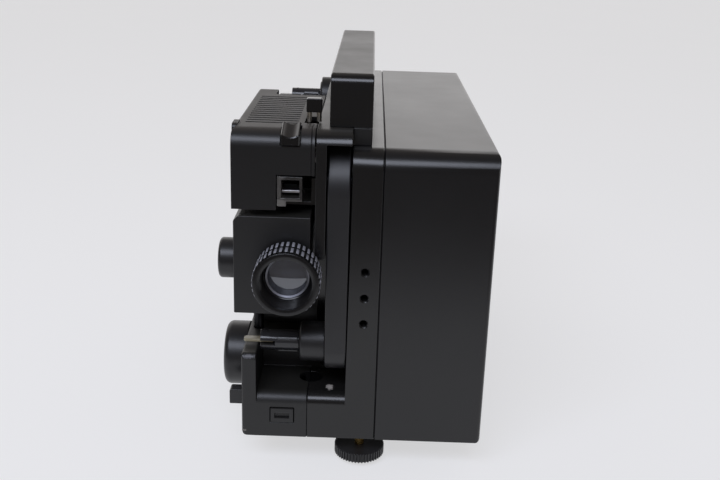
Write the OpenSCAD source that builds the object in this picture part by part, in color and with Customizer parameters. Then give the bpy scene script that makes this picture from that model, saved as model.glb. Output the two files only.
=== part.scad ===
// Movie projector for narrow-gauge film, with a folding feed arm, a folding take-up arm,
// a zoom lens in a swing-out carrier, a lift-off vented cover and a screw foot at the front.
// Axes: +X to the right seen from the lens end, +Y to the back, +Z up. Millimetres.

/* [Body] */
// Height of the chassis from its underside to its top
body_h = 180; // [160:1:210]
// Length of the body from front to back
body_len = 312; // [300:1:360]
// Distance of the film side and the base from the back of the body
rear_inset = 6; // [1:0.5:12]
// Width of the deep cover on the right
cover_w = 64.4; // [56:0.1:90]
// Width of the chassis strip between the right cover and the feed arm
strip_w = 17.6; // [16:0.1:24]
// Radius of the long top edges at the front and the back
edge_r = 12; // [6:0.5:16]
// Radius of the other outer edges
corner_r = 3; // [1:0.5:3]
// Wall thickness of the moulded shells
wall = 2.5; // [2:0.1:3.5]
// Width of the seam between the right cover and the chassis
seam = 0.6; // [0.3:0.1:1.2]
// Clearance between pieces that move past each other
gap = 0.5; // [0.4:0.1:0.7]
// Radial clearance of a shaft in its bearing
fit = 0.05; // [0.03:0.01:0.09]

/* [Chassis] */
// Thickness of the plate that carries the mechanism
plate_t = 3; // [2:0.5:4]
// Thickness of the rails around that plate
rail_t = 8; // [6:0.5:10]
// Diameter of the three small holes in the front
hole_d = 4; // [3:0.1:5]
// Pitch of the small holes
hole_pitch = 16.1; // [12:0.1:20]
// Height of the middle small hole
hole_z = 92.5; // [70:0.5:110]
// Depth of the small holes
hole_depth = 14; // [8:1:20]
// Width of the spine that lifts the handle off the chassis
spine_w = 10.6; // [8:0.1:14]

/* [Handle] */
// Width of the handle
handle_w = 24.2; // [18:0.1:27]
// Distance from the front of the body to the handle
handle_front = 14; // [12:0.5:30]
// Length of the handle
handle_len = 226; // [180:1:240]
// Height of the handle over the film side
handle_h = 30; // [26:0.5:40]
// Thickness of the bar that the hand holds
grip_t = 9; // [7:0.5:12]
// Length of the handle's front and rear legs
handle_leg = 36; // [24:1:50]
// Radius of the handle's upper ends
handle_r = 6; // [3:0.5:8]

/* [Film side] */
// Rise of the film side above the chassis
frame_rise = 10; // [8:0.5:14]
// Radius of the front edge on top of the film side
frame_r = 10; // [6:0.5:12]
// Width of the post beside the feed arm
post_w = 6.1; // [5.5:0.1:10]
// Gap between the feed hub and the post's lower end
post_gap = 46; // [40:1:52]
// Thickness of the bar over the feed arm
bar_t = 7.5; // [5:0.1:8]
// Thickness of the operator panel
panel_t = 3; // [2.5:0.1:4]

/* [Base housing] */
// Width of the base housing left of the chassis
base_w = 62.9; // [58:0.1:70]
// Height of the base housing
base_h = 54.5; // [48:0.1:62]
// Height of the shelf under the folded spindle
shelf_h = 29; // [24:0.5:32]
// Radius of the shelf's front edge
shelf_r = 7; // [3:0.5:8]
// Thickness of the left cheek
cheek_t = 8.7; // [7:0.1:10]
// Radius on top of the cheek's front
cheek_r = 4; // [2:0.5:6]
// Width of the foot of the chassis beside the base housing
foot_strip_w = 23.4; // [20:0.1:26]
// Wall thickness of the base housing
base_wall = 3; // [2.5:0.1:4]
// Diameter of the round well in the shelf
well_d = 14; // [10:0.5:16]
// Width of the slot plate in the front
slot_plate_w = 14.4; // [12:0.1:18]
// Height of the slot plate
slot_plate_h = 10.1; // [8:0.1:12]
// Thickness of the slot plate
slot_plate_t = 1.2; // [0.8:0.1:1.6]

/* [Reel arms] */
// Thickness of the feed arm
arm_t = 12.9; // [11:0.1:14]
// Radius of the arms' round ends
arm_r = 16; // [15:0.5:16]
// Radius of the feed arm's upper front edge
arm_front_r = 30; // [16:1:32]
// Gap on each side of the folded feed arm
arm_gap = 0.7; // [0.4:0.1:1]
// Height of the folded feed spindle over the base housing
spindle_rise = 3; // [2.6:0.1:6]
// Distance of the feed pivot in front of the arm's middle
pivot_fwd = 4; // [3:0.5:6]
// Distance of the feed pivot below the centre of the arm's upper end
pivot_drop = 6; // [5:0.5:8]
// Diameter of the arm pivots
pin_d = 6; // [5:0.5:8]
// Distance of the take-up pivot from the back of the body
takeup_back = 22; // [20:0.5:30]
// Height of the take-up pivot over the base housing
takeup_rise = 19; // [17:0.5:26]
// Length of the take-up arm between its axes
takeup_len = 85; // [80:0.5:95]
// Thickness of the take-up arm
takeup_arm_t = 11.5; // [9:0.1:12.5]

/* [Reel spindles] */
// Diameter of the spindles
spindle_d = 12.5; // [12:0.1:13]
// Length of a spindle outside its hub
spindle_len = 23.4; // [20:0.1:24]
// Length of the splines
spline_len = 13; // [9:0.1:14]
// Height of the splines
spline_h = 1.1; // [0.6:0.1:1.5]
// Diameter of the hubs
hub_d = 24; // [20:0.5:26]
// Length of the feed hub
feed_hub_len = 15.3; // [12:0.1:18]
// Length of the take-up hub
takeup_hub_len = 1.2; // [0.8:0.1:2]
// Thickness of the reel clips
clip_t = 2; // [1.6:0.1:2.4]
// Width of the reel clips
clip_w = 5; // [4:0.1:5]
// Length of a reel clip outside its spindle
clip_out = 10.3; // [8:0.1:11]

/* [Lens] */
// Distance of the lens axis from the operator panel
lens_off = 14.4; // [13:0.1:16]
// Diameter over the knurls of the zoom ring
ring_d = 38.6; // [36:0.1:40]
// Length of the zoom ring
ring_len = 18.4; // [17:0.1:20]
// Height of the knurls
knurl_h = 1.2; // [0.6:0.1:1.6]
// Number of knurls around the ring
knurl_n = 38; // [24:1:40]
// Width of the groove between the two rows of knurls
knurl_groove = 2.7; // [2:0.1:3]
// Distance of the zoom ring from the carrier
ring_off = 2.5; // [2:0.1:4]
// Diameter of the lens barrel under the zoom ring
barrel_d = 33; // [32.4:0.1:33.4]
// Diameter of the lens barrel inside the carrier
tube_d = 20; // [18:0.1:21]
// Diameter of the front glass
glass_d = 25; // [23:0.1:26]
// Thickness of the front glass
glass_t = 3.6; // [3:0.1:4]
// Length of the barrel inside the carrier
barrel_in = 32; // [28:0.5:33]
// Length of the bezel in front of the zoom ring
bezel_len = 0.8; // [0.7:0.1:1.2]

/* [Lens carrier] */
// Width of the lens carrier
carrier_w = 44; // [40:0.1:48]
// Gap between the lens carrier and the upper cover
carrier_over = 3.9; // [3:0.1:8]
// Gap between the feed hub and the lens carrier
carrier_under = 11.5; // [8:0.5:14]
// Depth of the lens carrier
carrier_d = 36; // [34:0.5:38]
// Distance of the carrier's underside below the lens axis
carrier_low = 27; // [22:0.5:28]
// Gap between the carrier and the operator panel
carrier_gap = 2.4; // [1:0.1:3]
// Chamfer on the carrier's upper left edge
carrier_chamfer = 3; // [1:0.5:5]
// Chamfer on the carrier's lower right corner
carrier_corner = 14; // [8:1:16]
// Chamfer on the carrier's rear left edge, which turns past the lamp house
carrier_rear_cut = 6.4; // [6:0.1:8]
// Diameter of the carrier's hinge pin
carrier_pin_d = 6; // [5:0.5:7]
// Diameter of the focus knob
focus_d = 24.1; // [20:0.1:28]
// Length of the focus knob
focus_len = 10.1; // [9:0.1:14]
// Distance of the focus knob's axis from the carrier's front
focus_y = 20.5; // [18:0.5:22]

/* [Upper cover] */
// Width of the upper cover
upper_w = 46.8; // [44.5:0.1:50]
// Height of the upper cover
upper_h = 45.6; // [45:0.1:46.5]
// Length of the upper cover on its left
upper_len = 134; // [128:0.5:140]
// Length of the upper cover along the panel
upper_short = 114; // [110:0.5:118]
// Width of the longer left part of the cover
upper_left = 14; // [10:0.5:18]
// Number of slots in the grille
slot_n = 14; // [8:1:14]
// Pitch of the grille slots
slot_pitch = 6.3; // [5:0.1:6.4]
// Width of a grille slot
slot_w = 2.2; // [1.5:0.1:2.6]
// Length of the grille slots
slot_len = 30; // [24:0.5:32]
// Distance of the first grille slot from the front
slot_y = 21; // [20:0.5:24]
// Width of the film inlet notch
inlet_w = 22; // [20:0.1:24]
// Height of the film inlet notch
inlet_h = 20.6; // [19:0.1:22]
// Width of the catch on the upper cover
catch_w = 10.4; // [10:0.1:14]
// Depth of the catch
catch_d = 15; // [12:0.5:16]
// Travel of the catch
catch_travel = 2.5; // [1.5:0.1:3]

/* [Controls] */
// Diameter of the selector knob
knob_d = 40.5; // [36:0.1:48]
// Length of the selector knob
knob_len = 14.6; // [14:0.1:22]
// Distance of the selector knob from the front
knob_y = 46; // [44:0.5:52]
// Height of the selector knob
knob_z = 34; // [32:0.5:36]
// Radius of the knob rims
knob_r = 4; // [2:0.5:5]
// Height of the button below the selector knob
button_h = 9.7; // [7:0.1:10]
// Depth of the button from front to back
button_d = 7.5; // [6:0.1:10]
// Distance of the button from the base housing
button_out = 8.5; // [6:0.1:10]
// Travel of the button
button_travel = 3; // [2:0.1:4]
// Travel of the lever on top
lever_travel = 12; // [8:0.5:12]
// Width of the lever cap
lever_cap_w = 9; // [7:0.1:10]
// Height of the lever cap
lever_cap_h = 8; // [6:0.1:10]
// Height of the lever cap over the cover
lever_rise = 4.1; // [3:0.1:8]

/* [Feet] */
// Height of the body over the table
foot_h = 20; // [19:0.5:26]
// Diameter of the knurled foot wheel
wheel_d = 31; // [26:0.5:34]
// Thickness of the foot wheel
wheel_t = 5.8; // [4:0.1:7]
// Diameter of the foot wheel's stud
stud_d = 5.6; // [5:0.1:7]
// Diameter of the foot pad
pad_d = 19; // [16:0.5:22]
// Thickness of the foot pads
pad_t = 3; // [2.5:0.1:4]
// Distance of the foot wheel's axis from the front
foot_y = 15; // [14:0.5:18]
// Diameter of the rear feet
rear_foot_d = 20; // [16:0.5:22]

/* [Drive] */
// Radius of the motor
motor_r = 15; // [13:0.1:15]
// Length of the motor
motor_len = 50; // [40:1:56]
// Distance of the motor axis below the lens axis
motor_drop = 8; // [6:0.5:10]
// Radius of the shutter
shutter_r = 38; // [37:0.1:38.4]
// Thickness of the shutter
shutter_t = 1.2; // [0.8:0.1:1.6]
// Radius of the cooling fan
fan_r = 14; // [12:0.1:15]

/* [Hidden] */
$fn = 64;
over = 1;
black = "#1d1d1f";
satin = "#2a2a2d";
steel = "#b9babd";

// Planes across the machine, from the seam at x = 0 to the left
x_cover = seam + cover_w;
x_strip = -strip_w;
x_arm1 = x_strip - arm_gap;
x_arm0 = x_arm1 - arm_t;
x_post = x_arm0 - arm_gap;
x_panel = x_post - post_w;
x_panel_in = x_panel + panel_t;
x_foot = x_strip - foot_strip_w;
x_base = x_strip - base_w;
x_cheek = x_base + cheek_t;
x_lens = x_panel - lens_off;
x_car1 = x_panel - carrier_gap;
x_car0 = x_car1 - carrier_w;
x_up1 = x_panel - gap;
x_up0 = x_up1 - upper_w;
x_centre = (x_base + x_cover) / 2;

// Lengths of the film side and the base
panel_len = body_len - rear_inset;
base_len = body_len - rear_inset;

// Heights, from the base housing up and from the top down
z_top = body_h + frame_rise;
z_bar = z_top - bar_t;
z_up = z_top - upper_h;
z_handle = z_top + handle_h;
spindle_z = base_h + spindle_rise;
takeup_pivot_z = base_h + takeup_rise;
hub_r = hub_d / 2;
post_z = spindle_z + hub_r + post_gap;
z_car0 = spindle_z + hub_r + carrier_under;
z_car1 = z_up - carrier_over;
lens_z = z_car0 + carrier_low;
motor_z = lens_z - motor_drop;

// The feed arm, its pivot and the slot that it folds into
feed_y = arm_r;
arm_top_z = z_bar - gap - arm_r;
pivot_y = feed_y - pivot_fwd;
pivot_z = arm_top_z - pivot_drop;
y_slot = pivot_y + norm([pivot_fwd, pivot_drop]) + arm_r + gap;
y_recess = y_slot + wall;
pin_r = pin_d / 2;
pin_seat = 10;

// The take-up arm stands outside the operator panel
takeup_y = body_len - takeup_back;
takeup_spindle_z = takeup_pivot_z + takeup_len;
x_take1 = x_panel - gap;
x_take0 = x_take1 - takeup_arm_t;
pin_head_r = 7;
pin_head_t = 2;

// Spindles, hubs and clips
x_feed_hub = x_arm0 - feed_hub_len;
x_takeup_hub = x_take0 - takeup_hub_len;
spindle_r = spindle_d / 2;
shaft_r = 4;
spline_n = 3;
spline_w = 2;
clip_pivot = 4.5;
clip_tail = 3;
clip_pin_r = 1;
clip_swing = norm([clip_tail, clip_w / 2]);
slit_len = clip_pivot + clip_swing + gap;
slit_t = clip_t + 2 * gap;

// Film gate, shutter and lamp behind the carrier
pressure_t = 3.5;
pressure_w = 17;
pressure_h = 34;
pressure_hole_r = 5;
gate_t = 2;
gate_h = 36;
gate_left = 9.6;
y_gate = carrier_d + pressure_t + gap;
y_shutter = y_gate + gate_t + 4;
y_lamp0 = y_shutter + shutter_t + 2;
y_lamp1 = upper_len - 2;
lamp_inset = 1.5;
x_lamp0 = x_base + lamp_inset;
z_lamp1 = z_up - gap;
lamp_wall = 2;
beam_r = 9;
reflector_r = lens_off - 2.8;
reflector_d = 14;
reflector_t = 1.2;
y_reflector = y_lamp0 + 24;
socket_r = 8;
socket_len = 16;
x_motor = (x_panel_in - plate_t) / 2;
y_motor = y_shutter + 16;
motor_shaft_r = 2;
y_fan = y_motor + motor_len + 8;
fan_len = 12;

// Lens stack along the optical axis, from the front of the carrier forward
barrel_r = barrel_d / 2;
tube_r = tube_d / 2;
y_ring1 = -ring_off;
y_ring0 = y_ring1 - ring_len;
y_bezel1 = y_ring0 - 0.3;
y_bezel0 = y_bezel1 - bezel_len;
bezel_r = ring_d / 2 - 0.7;
glass_r = glass_d / 2;
glass_curve = 80;
glass_sag = glass_curve - sqrt(glass_curve ^ 2 - glass_r ^ 2);
y_glass = y_bezel0 + 12.3;
rear_glass_r = tube_r - 2.5;
rear_glass_t = 3;

// Hinge of the lens carrier
x_hinge = x_base + base_wall + carrier_pin_d / 2;
y_hinge = carrier_d + 5;
hinge_boss_r = 5;
hinge_pin_r = carrier_pin_d / 2;
hinge_seat = 10;

// Lever, catch and film inlet
lever_y = 26;
lever_stem_r = 1.4;
lever_pitch = 5.6;
x_lever = x_panel - 2.6;
lever_slot_y0 = lever_y - lever_stem_r - 1.2;
lever_slot_y1 = lever_y + lever_travel + lever_stem_r + 3;
x_lever_slot = x_lever - lever_pitch / 2 - lever_stem_r - 1.2;
z_rail = z_top - 22;
rail_h = 4;
rail_w = 2;
x_catch = x_lens + 0.2;
catch_low = 8;
catch_over = 1.6;
x_inlet = x_panel - inlet_w;
z_channel = z_up + 0.2;
channel_t = 2;
channel_side = 3;
channel_h = 16;
channel_y = 12;
inlet_frame_w = 14.2;
inlet_frame_d = 20;
inlet_left = 2.4;
inlet_right = 1.6;

// Feet and the overall box
x_foot_axis = x_centre - 0.8;
stud_r = stud_d / 2;
stud_top = 14;
stud_room = 14;
stud_seat = 1.1;
foot_gap = 0.3;
wheel_z0 = -foot_h + pad_t + foot_gap;
wheel_z1 = wheel_z0 + wheel_t;
rear_foot_y = body_len - 24;
rear_foot_x = [x_base + 16, x_cover - 15];
x_knob = x_base - gap - knob_len;
x_mid = (x_knob + x_cover) / 2;
y_mid = (y_bezel0 + body_len) / 2;

// Points of a toothed outline with square teeth
function toothed(n, root, tip) = [
    for (i = [0:n - 1], k = [0:3])
        let (a = 360 / n * (i + [-0.27, -0.23, 0.23, 0.27][k]), r = (k == 0 || k == 3) ? root : tip)
            r * [cos(a), sin(a)]
];

// Moves the machine so that it stands over the middle of its own box
module place() {
    translate([-x_mid, -y_mid, foot_h]) children();
}

module box(x, y, z) {
    translate([x[0], y[0], z[0]]) cube([x[1] - x[0], y[1] - y[0], z[1] - z[0]]);
}

// Extrudes an outline drawn in Y and Z along X
module along_x(x) {
    translate([x[0], 0, 0]) rotate([90, 0, 90]) linear_extrude(x[1] - x[0]) children();
}

// Extrudes an outline drawn in X and Z along Y
module along_y(y) {
    translate([0, y[1], 0]) rotate([90, 0, 0]) linear_extrude(y[1] - y[0]) children();
}

// Extrudes an outline drawn in X and Y along Z
module along_z(z) {
    translate([0, 0, z[0]]) linear_extrude(z[1] - z[0]) children();
}

module rod_x(x, y, z, r) {
    translate([x[0], y, z]) rotate([0, 90, 0]) cylinder(h = x[1] - x[0], r = r);
}

module rod_y(x, y, z, r) {
    translate([x, y[1], z]) rotate([90, 0, 0]) cylinder(h = y[1] - y[0], r = r);
}

module rod_z(x, y, z, r) {
    translate([x, y, z[0]]) cylinder(h = z[1] - z[0], r = r);
}

// What a round edge takes away at corner c, with d pointing into the shape
module corner_cut(c, d, r) {
    translate(c) difference() {
        translate([d[0] > 0 ? -over : -r, d[1] > 0 ? -over : -r]) square(r + over);
        translate(d * r) circle(r);
    }
}

// Side outline of the body, drawn in by inset
module side_outline(inset) {
    low = [inset, inset];
    high = [body_len - inset, body_h - inset];
    difference() {
        translate(low) square(high - low);
        corner_cut([low[0], high[1]], [1, -1], edge_r - inset);
        corner_cut(high, [-1, -1], edge_r - inset);
    }
}

// Outline of the film side from height z up, with its round front edge
module film_outline(y1, z) {
    intersection() {
        difference() {
            square([y1, z_top]);
            corner_cut([0, z_top], [1, -1], frame_r);
        }
        translate([-over, z]) square([y1 + 2 * over, z_top]);
    }
}

// Outline of an arm between two axis heights
module arm_outline(y, z0, z1) {
    translate([y - arm_r, z0]) square([2 * arm_r, z1 - z0]);
    translate([y, z0]) circle(arm_r);
    translate([y, z1]) circle(arm_r);
}

// Shelf with a round front edge, under the folded spindle
module shelf_outline() {
    difference() {
        square([y_recess, shelf_h]);
        corner_cut([0, shelf_h], [1, -1], shelf_r);
    }
}

module shutter_slot(x) {
    box(x, [y_shutter - 2, y_shutter + shutter_t + 2], [motor_z - shutter_r - 2, motor_z + shutter_r + 2]);
}

module shelf_well() {
    rod_z(x_foot + 1, feed_y + 9, [shelf_h - 16, shelf_h + over], well_d / 2);
}

module chassis_frame() {
    color(black) difference() {
        union() {
            along_x([-plate_t, 0]) side_outline(0);
            along_x([x_strip, -plate_t]) difference() {
                side_outline(0);
                translate([y_recess, rail_t])
                    square([body_len - y_recess - rail_t, body_h - 2 * rail_t]);
            }
            along_x([x_foot, x_strip]) shelf_outline();
        }
        for (i = [-1:1]) {
            z = hole_z + i * hole_pitch;
            rod_y(x_foot_axis, [-over, hole_depth], z, hole_d / 2);
            translate([x_foot_axis, 0, z]) rotate([-90, 0, 0])
                cylinder(h = 0.8, r1 = hole_d / 2 + 0.8, r2 = hole_d / 2);
        }
        rod_x([x_strip - over, x_strip + pin_seat], pivot_y, pivot_z, pin_r + fit);
        rod_z(x_foot_axis, foot_y, [-over, stud_top + stud_room], stud_r + fit);
        shutter_slot([-plate_t - over, over]);
        shelf_well();
        along_y([-over, y_recess + over]) corner_cut([x_strip, body_h], [1, -1], 0.8);
    }
}

cover_boss_r = 4.5;
cover_screw_r = 1.5;
screw_head_r = 3.4;
screw_head_t = 1.6;
screw_len = 18;
screw_in = 28;
screw_low = 22;
screw_high = 24;
cover_screw_at = [
    for (y = [screw_in, body_len - screw_in], z = [screw_low, body_h - screw_high]) [y, z]
];
inlet_hole_w = 24;
inlet_hole_h = 14;
x_mains = x_cover - 34;
z_mains = 34;
vent_n = 9;
vent_pitch = 9;
vent_w = 3;
vent_len = 46;
vent_back = 128;

module cover_shell(inset, x0) {
    x1 = x_cover - inset;
    r = corner_r - min(inset, corner_r - 0.5);
    difference() {
        along_x([x0, x1]) side_outline(inset);
        along_y([-over, body_len + over]) corner_cut([x1, body_h - inset], [-1, -1], r);
        along_y([-over, body_len + over]) corner_cut([x1, inset], [-1, 1], r);
        along_z([-over, body_h + over]) corner_cut([x1, inset], [-1, 1], r);
        along_z([-over, body_h + over]) corner_cut([x1, body_len - inset], [-1, -1], r);
    }
}

module rear_cover() {
    color(satin) difference() {
        union() {
            difference() {
                union() {
                    cover_shell(0, seam);
                    along_x([0, seam]) side_outline(wall / 2);
                }
                cover_shell(wall, -over);
            }
            for (at = cover_screw_at)
                rod_x([0, x_cover - wall], at[0], at[1], cover_boss_r);
        }
        for (at = cover_screw_at) {
            rod_x([x_cover - screw_len - 2, x_cover + over], at[0], at[1], cover_screw_r + fit);
            rod_x([x_cover - screw_head_t, x_cover + over], at[0], at[1], screw_head_r + 0.3);
        }
        box([x_mains - inlet_hole_w / 2, x_mains + inlet_hole_w / 2],
            [body_len - wall - over, body_len + over],
            [z_mains - inlet_hole_h / 2, z_mains + inlet_hole_h / 2]);
        for (i = [0:vent_n - 1])
            box([x_cover - wall - over, x_cover + over],
                [body_len - vent_back + i * vent_pitch, body_len - vent_back + i * vent_pitch + vent_w],
                [body_h / 2, body_h / 2 + vent_len]);
    }
}

module cover_screws() {
    color(steel) for (at = cover_screw_at) difference() {
        union() {
            rod_x([x_cover - screw_head_t, x_cover - 0.2], at[0], at[1], screw_head_r);
            rod_x([x_cover - screw_len, x_cover - screw_head_t], at[0], at[1], cover_screw_r);
        }
        box([x_cover - 1, x_cover + over], [at[0] - screw_head_r, at[0] + screw_head_r],
            [at[1] - 0.5, at[1] + 0.5]);
    }
}

module film_frame() {
    color(black) difference() {
        union() {
            along_x([x_panel, x_post]) film_outline(y_recess, post_z);
            along_x([x_panel, x_strip]) film_outline(panel_len, z_bar);
            box([x_panel, x_panel_in], [y_slot, panel_len], [base_h, z_top]);
            box([x_panel_in, x_strip], [y_slot, y_recess], [shelf_h, z_bar]);
        }
        rod_x([x_panel + 1.5, x_post + over], pivot_y, pivot_z, pin_r + fit);
        rod_x([x_panel - over, x_panel_in + over], takeup_y, takeup_pivot_z, pin_r + fit);
        shutter_slot([x_panel - over, x_panel_in + over]);
    }
}

module handle_spine() {
    color(black) box([x_strip, x_strip + spine_w], [handle_front, handle_front + handle_len],
        [body_h, z_top]);
}

module handle() {
    y1 = handle_front + handle_len;
    z_grip = z_handle - grip_t;
    grip_r = 4;
    x1 = x_strip + spine_w;
    x0 = x1 - handle_w;
    color(satin) difference() {
        along_x([x0, x1]) difference() {
            translate([handle_front, z_top]) square([handle_len, handle_h]);
            corner_cut([handle_front, z_handle], [1, -1], handle_r);
            corner_cut([y1, z_handle], [-1, -1], handle_r);
            difference() {
                translate([handle_front + handle_leg, z_top - over])
                    square([handle_len - 2 * handle_leg, z_grip - z_top + over]);
                corner_cut([handle_front + handle_leg, z_grip], [1, -1], grip_r);
                corner_cut([y1 - handle_leg, z_grip], [-1, -1], grip_r);
            }
        }
        for (side = [0, 1])
            along_y([handle_front - over, y1 + over])
                corner_cut([side == 0 ? x0 : x1, z_handle], [side == 0 ? 1 : -1, -1], 1.5);
    }
}

slot_plate_x = x_base + 17.2;
slot_plate_z = 9.6;
button_y0 = 8;
button_z0 = 17;

module base_housing() {
    color(black) difference() {
        union() {
            along_x([x_base, x_foot]) shelf_outline();
            along_x([x_base, x_cheek]) difference() {
                square([y_recess, base_h]);
                corner_cut([0, base_h], [1, -1], cheek_r);
            }
            box([x_base, x_strip], [y_recess, base_len], [0, base_h]);
        }
        difference() {
            box([x_base + base_wall, x_strip + over], [y_recess + base_wall, base_len - base_wall],
                [base_wall, base_h - base_wall]);
            rod_z(x_hinge, y_hinge, [base_h - base_wall - hinge_seat, base_h], hinge_pin_r + 3);
        }
        box([x_base + base_wall, x_foot - base_wall], [base_wall, y_recess + base_wall + over],
            [base_wall, shelf_h - base_wall]);
        rod_z(x_hinge, y_hinge, [base_h - hinge_seat, base_h + over], hinge_pin_r + fit);
        rod_x([x_base - over, x_base + base_wall + over], knob_y, knob_z, shaft_r + fit);
        box([x_base - over, x_base + base_wall + button_travel + over],
            [button_y0 - gap, button_y0 + button_d + gap], [button_z0 - gap, button_z0 + button_h + gap]);
        box([slot_plate_x, slot_plate_x + slot_plate_w], [-over, slot_plate_t],
            [slot_plate_z, slot_plate_z + slot_plate_h]);
        shelf_well();
        along_y([-over, base_len + over]) corner_cut([x_base, 0], [1, 1], corner_r);
        along_z([-over, base_h + over]) corner_cut([x_base, 0], [1, 1], 1.5);
        along_y([-over, base_len + over]) corner_cut([x_base, base_h], [1, -1], 1.2);
    }
}

module slot_plate() {
    slot_w_mm = 8.9;
    slot_h_mm = 3.2;
    proud = 0.4;
    xm = slot_plate_x + slot_plate_w / 2;
    zm = slot_plate_z + slot_plate_h / 2;
    edge = 0.3;
    color(satin) difference() {
        box([slot_plate_x + edge, slot_plate_x + slot_plate_w - edge], [-proud, slot_plate_t],
            [slot_plate_z + edge, slot_plate_z + slot_plate_h - edge]);
        box([xm - slot_w_mm / 2, xm + slot_w_mm / 2], [-over, slot_plate_t + over],
            [zm - slot_h_mm / 2, zm + slot_h_mm / 2]);
    }
}

module lamp_house() {
    color(black) difference() {
        box([x_lamp0, x_panel], [y_lamp0, y_lamp1], [base_h, z_lamp1]);
        box([x_lamp0 + lamp_wall, x_panel + over], [y_lamp0 + lamp_wall, y_lamp1 - lamp_wall],
            [base_h + lamp_wall, z_lamp1 + over]);
        rod_y(x_lens, [y_lamp0 - over, y_lamp0 + lamp_wall + over], lens_z, beam_r);
    }
}

module lamp_reflector() {
    neck_r = socket_r - 3;
    mid_r = reflector_r * 0.75;
    mid_d = reflector_d * 0.6;
    color(steel) translate([x_lens, y_reflector, lens_z]) rotate([-90, 0, 0]) rotate_extrude() polygon([
        [neck_r, reflector_d], [mid_r, mid_d], [reflector_r, 0], [reflector_r - reflector_t, 0],
        [mid_r - reflector_t, mid_d - reflector_t / 2], [neck_r, reflector_d - reflector_t]
    ]);
}

module lamp_bulb() {
    bulb_r = 4;
    color("#e6e9ea") {
        rod_y(x_lens, [y_reflector + 4, y_reflector + reflector_d], lens_z, bulb_r);
        translate([x_lens, y_reflector + 4, lens_z]) sphere(bulb_r);
    }
}

module lamp_socket() {
    y0 = y_reflector + reflector_d;
    color("#d8d2c4") union() {
        rod_y(x_lens, [y0, y0 + socket_len], lens_z, socket_r);
        box([x_lens, x_panel], [y0 + 2, y0 + socket_len - 2], [lens_z - 5, lens_z + 5]);
    }
}

module gate_plate() {
    film_w = 8;
    gate_z = [lens_z - gate_h / 2, lens_z + gate_h / 2];
    frame_w = 5.8;
    frame_h = 4.2;
    color(steel) difference() {
        union() {
            box([x_lens - gate_left, x_panel], [y_gate, y_gate + gate_t], gate_z);
            for (side = [-1, 1])
                box([x_lens + side * (film_w / 2 + 1.2) - 1, x_lens + side * (film_w / 2 + 1.2) + 1],
                    [y_gate + gate_t, y_gate + gate_t + 1], gate_z);
        }
        box([x_lens - frame_w / 2, x_lens + frame_w / 2], [y_gate - over, y_gate + gate_t + over],
            [lens_z - frame_h / 2, lens_z + frame_h / 2]);
        box([x_lens + film_w / 2 + 2.4, x_lens + film_w / 2 + 3.6], [y_gate - over, y_gate + gate_t + over],
            [lens_z - 8, lens_z - 2]);
    }
}

module film_channel() {
    color(black) union() {
        box([x_inlet + gap, x_panel], [channel_y, y_gate - 2], [z_channel, z_channel + channel_t]);
        box([x_panel - channel_side, x_panel], [channel_y, y_gate - 2],
            [z_channel + channel_t, z_channel + channel_h]);
    }
}

module film_inlet() {
    x0 = x_inlet + gap;
    x1 = x0 + inlet_frame_w;
    z0 = z_channel + channel_t;
    z1 = z_up + inlet_h - 1;
    sill = 3;
    bar = 2;
    leg_w = 5.1;
    color("#6d6a66") difference() {
        union() {
            box([x0, x1], [gap, inlet_frame_d], [z0 + sill, z1]);
            box([x0, x0 + leg_w], [gap, inlet_frame_d], [z0, z0 + sill]);
        }
        box([x0 + inlet_left, x1 - inlet_right], [0, inlet_frame_d + over], [z0 + sill + bar, z1 - bar]);
    }
}

module inlet_strip() {
    x0 = x_inlet + gap + inlet_left;
    x1 = x_inlet + gap + inlet_frame_w - inlet_right;
    z0 = z_channel + channel_t + 7;
    strip_t = 1.6;
    color(steel) box([x0, x1], [gap + 4, inlet_frame_d - 2], [z0, z0 + strip_t]);
}

module lever_rail() {
    color(steel) box([x_panel - rail_w, x_panel], [lever_slot_y0 - 4, lever_slot_y1 + 8],
        [z_rail, z_rail + rail_h]);
}

module lever_stems() {
    foot_z = z_rail + rail_h + gap;
    color("#d5d3cc") union() {
        for (i = [-1, 1])
            rod_z(x_lever + i * lever_pitch / 2, lever_y,
                [i < 0 ? foot_z + 2 : z_top + gap, z_top + lever_rise + 2], lever_stem_r);
        box([x_lever - lever_pitch / 2 - 1.6, x_panel - gap], [lever_y - 2.5, lever_y + 2.5],
            [foot_z, foot_z + 3]);
        box([x_panel - rail_w - gap - 2, x_panel - rail_w - gap], [lever_y - 2.5, lever_y + 2.5],
            [z_rail, foot_z + 1]);
    }
}

module lever_cap() {
    z0 = z_top + lever_rise + 2;
    color(black) along_y([lever_y - 2.6, lever_y + 2.6]) difference() {
        translate([x_lever - lever_cap_w / 2, z0]) square([lever_cap_w, lever_cap_h]);
        corner_cut([x_lever - lever_cap_w / 2, z0 + lever_cap_h], [1, -1], 1);
        corner_cut([x_lever + lever_cap_w / 2, z0 + lever_cap_h], [-1, -1], 1);
    }
}

module carrier_pin() {
    color(steel) rod_z(x_hinge, y_hinge, [base_h - hinge_seat + 0.2, z_car1 + 1], hinge_pin_r);
}

module feed_pin() {
    color(steel) rod_x([x_panel + 2, x_strip + pin_seat - 0.5], pivot_y, pivot_z, pin_r);
}

module takeup_pin() {
    color(steel) union() {
        rod_x([x_take0 - gap, x_panel_in], takeup_y, takeup_pivot_z, pin_r);
        rod_x([x_take0 - gap - pin_head_t, x_take0 - gap], takeup_y, takeup_pivot_z, pin_head_r);
    }
}

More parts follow.
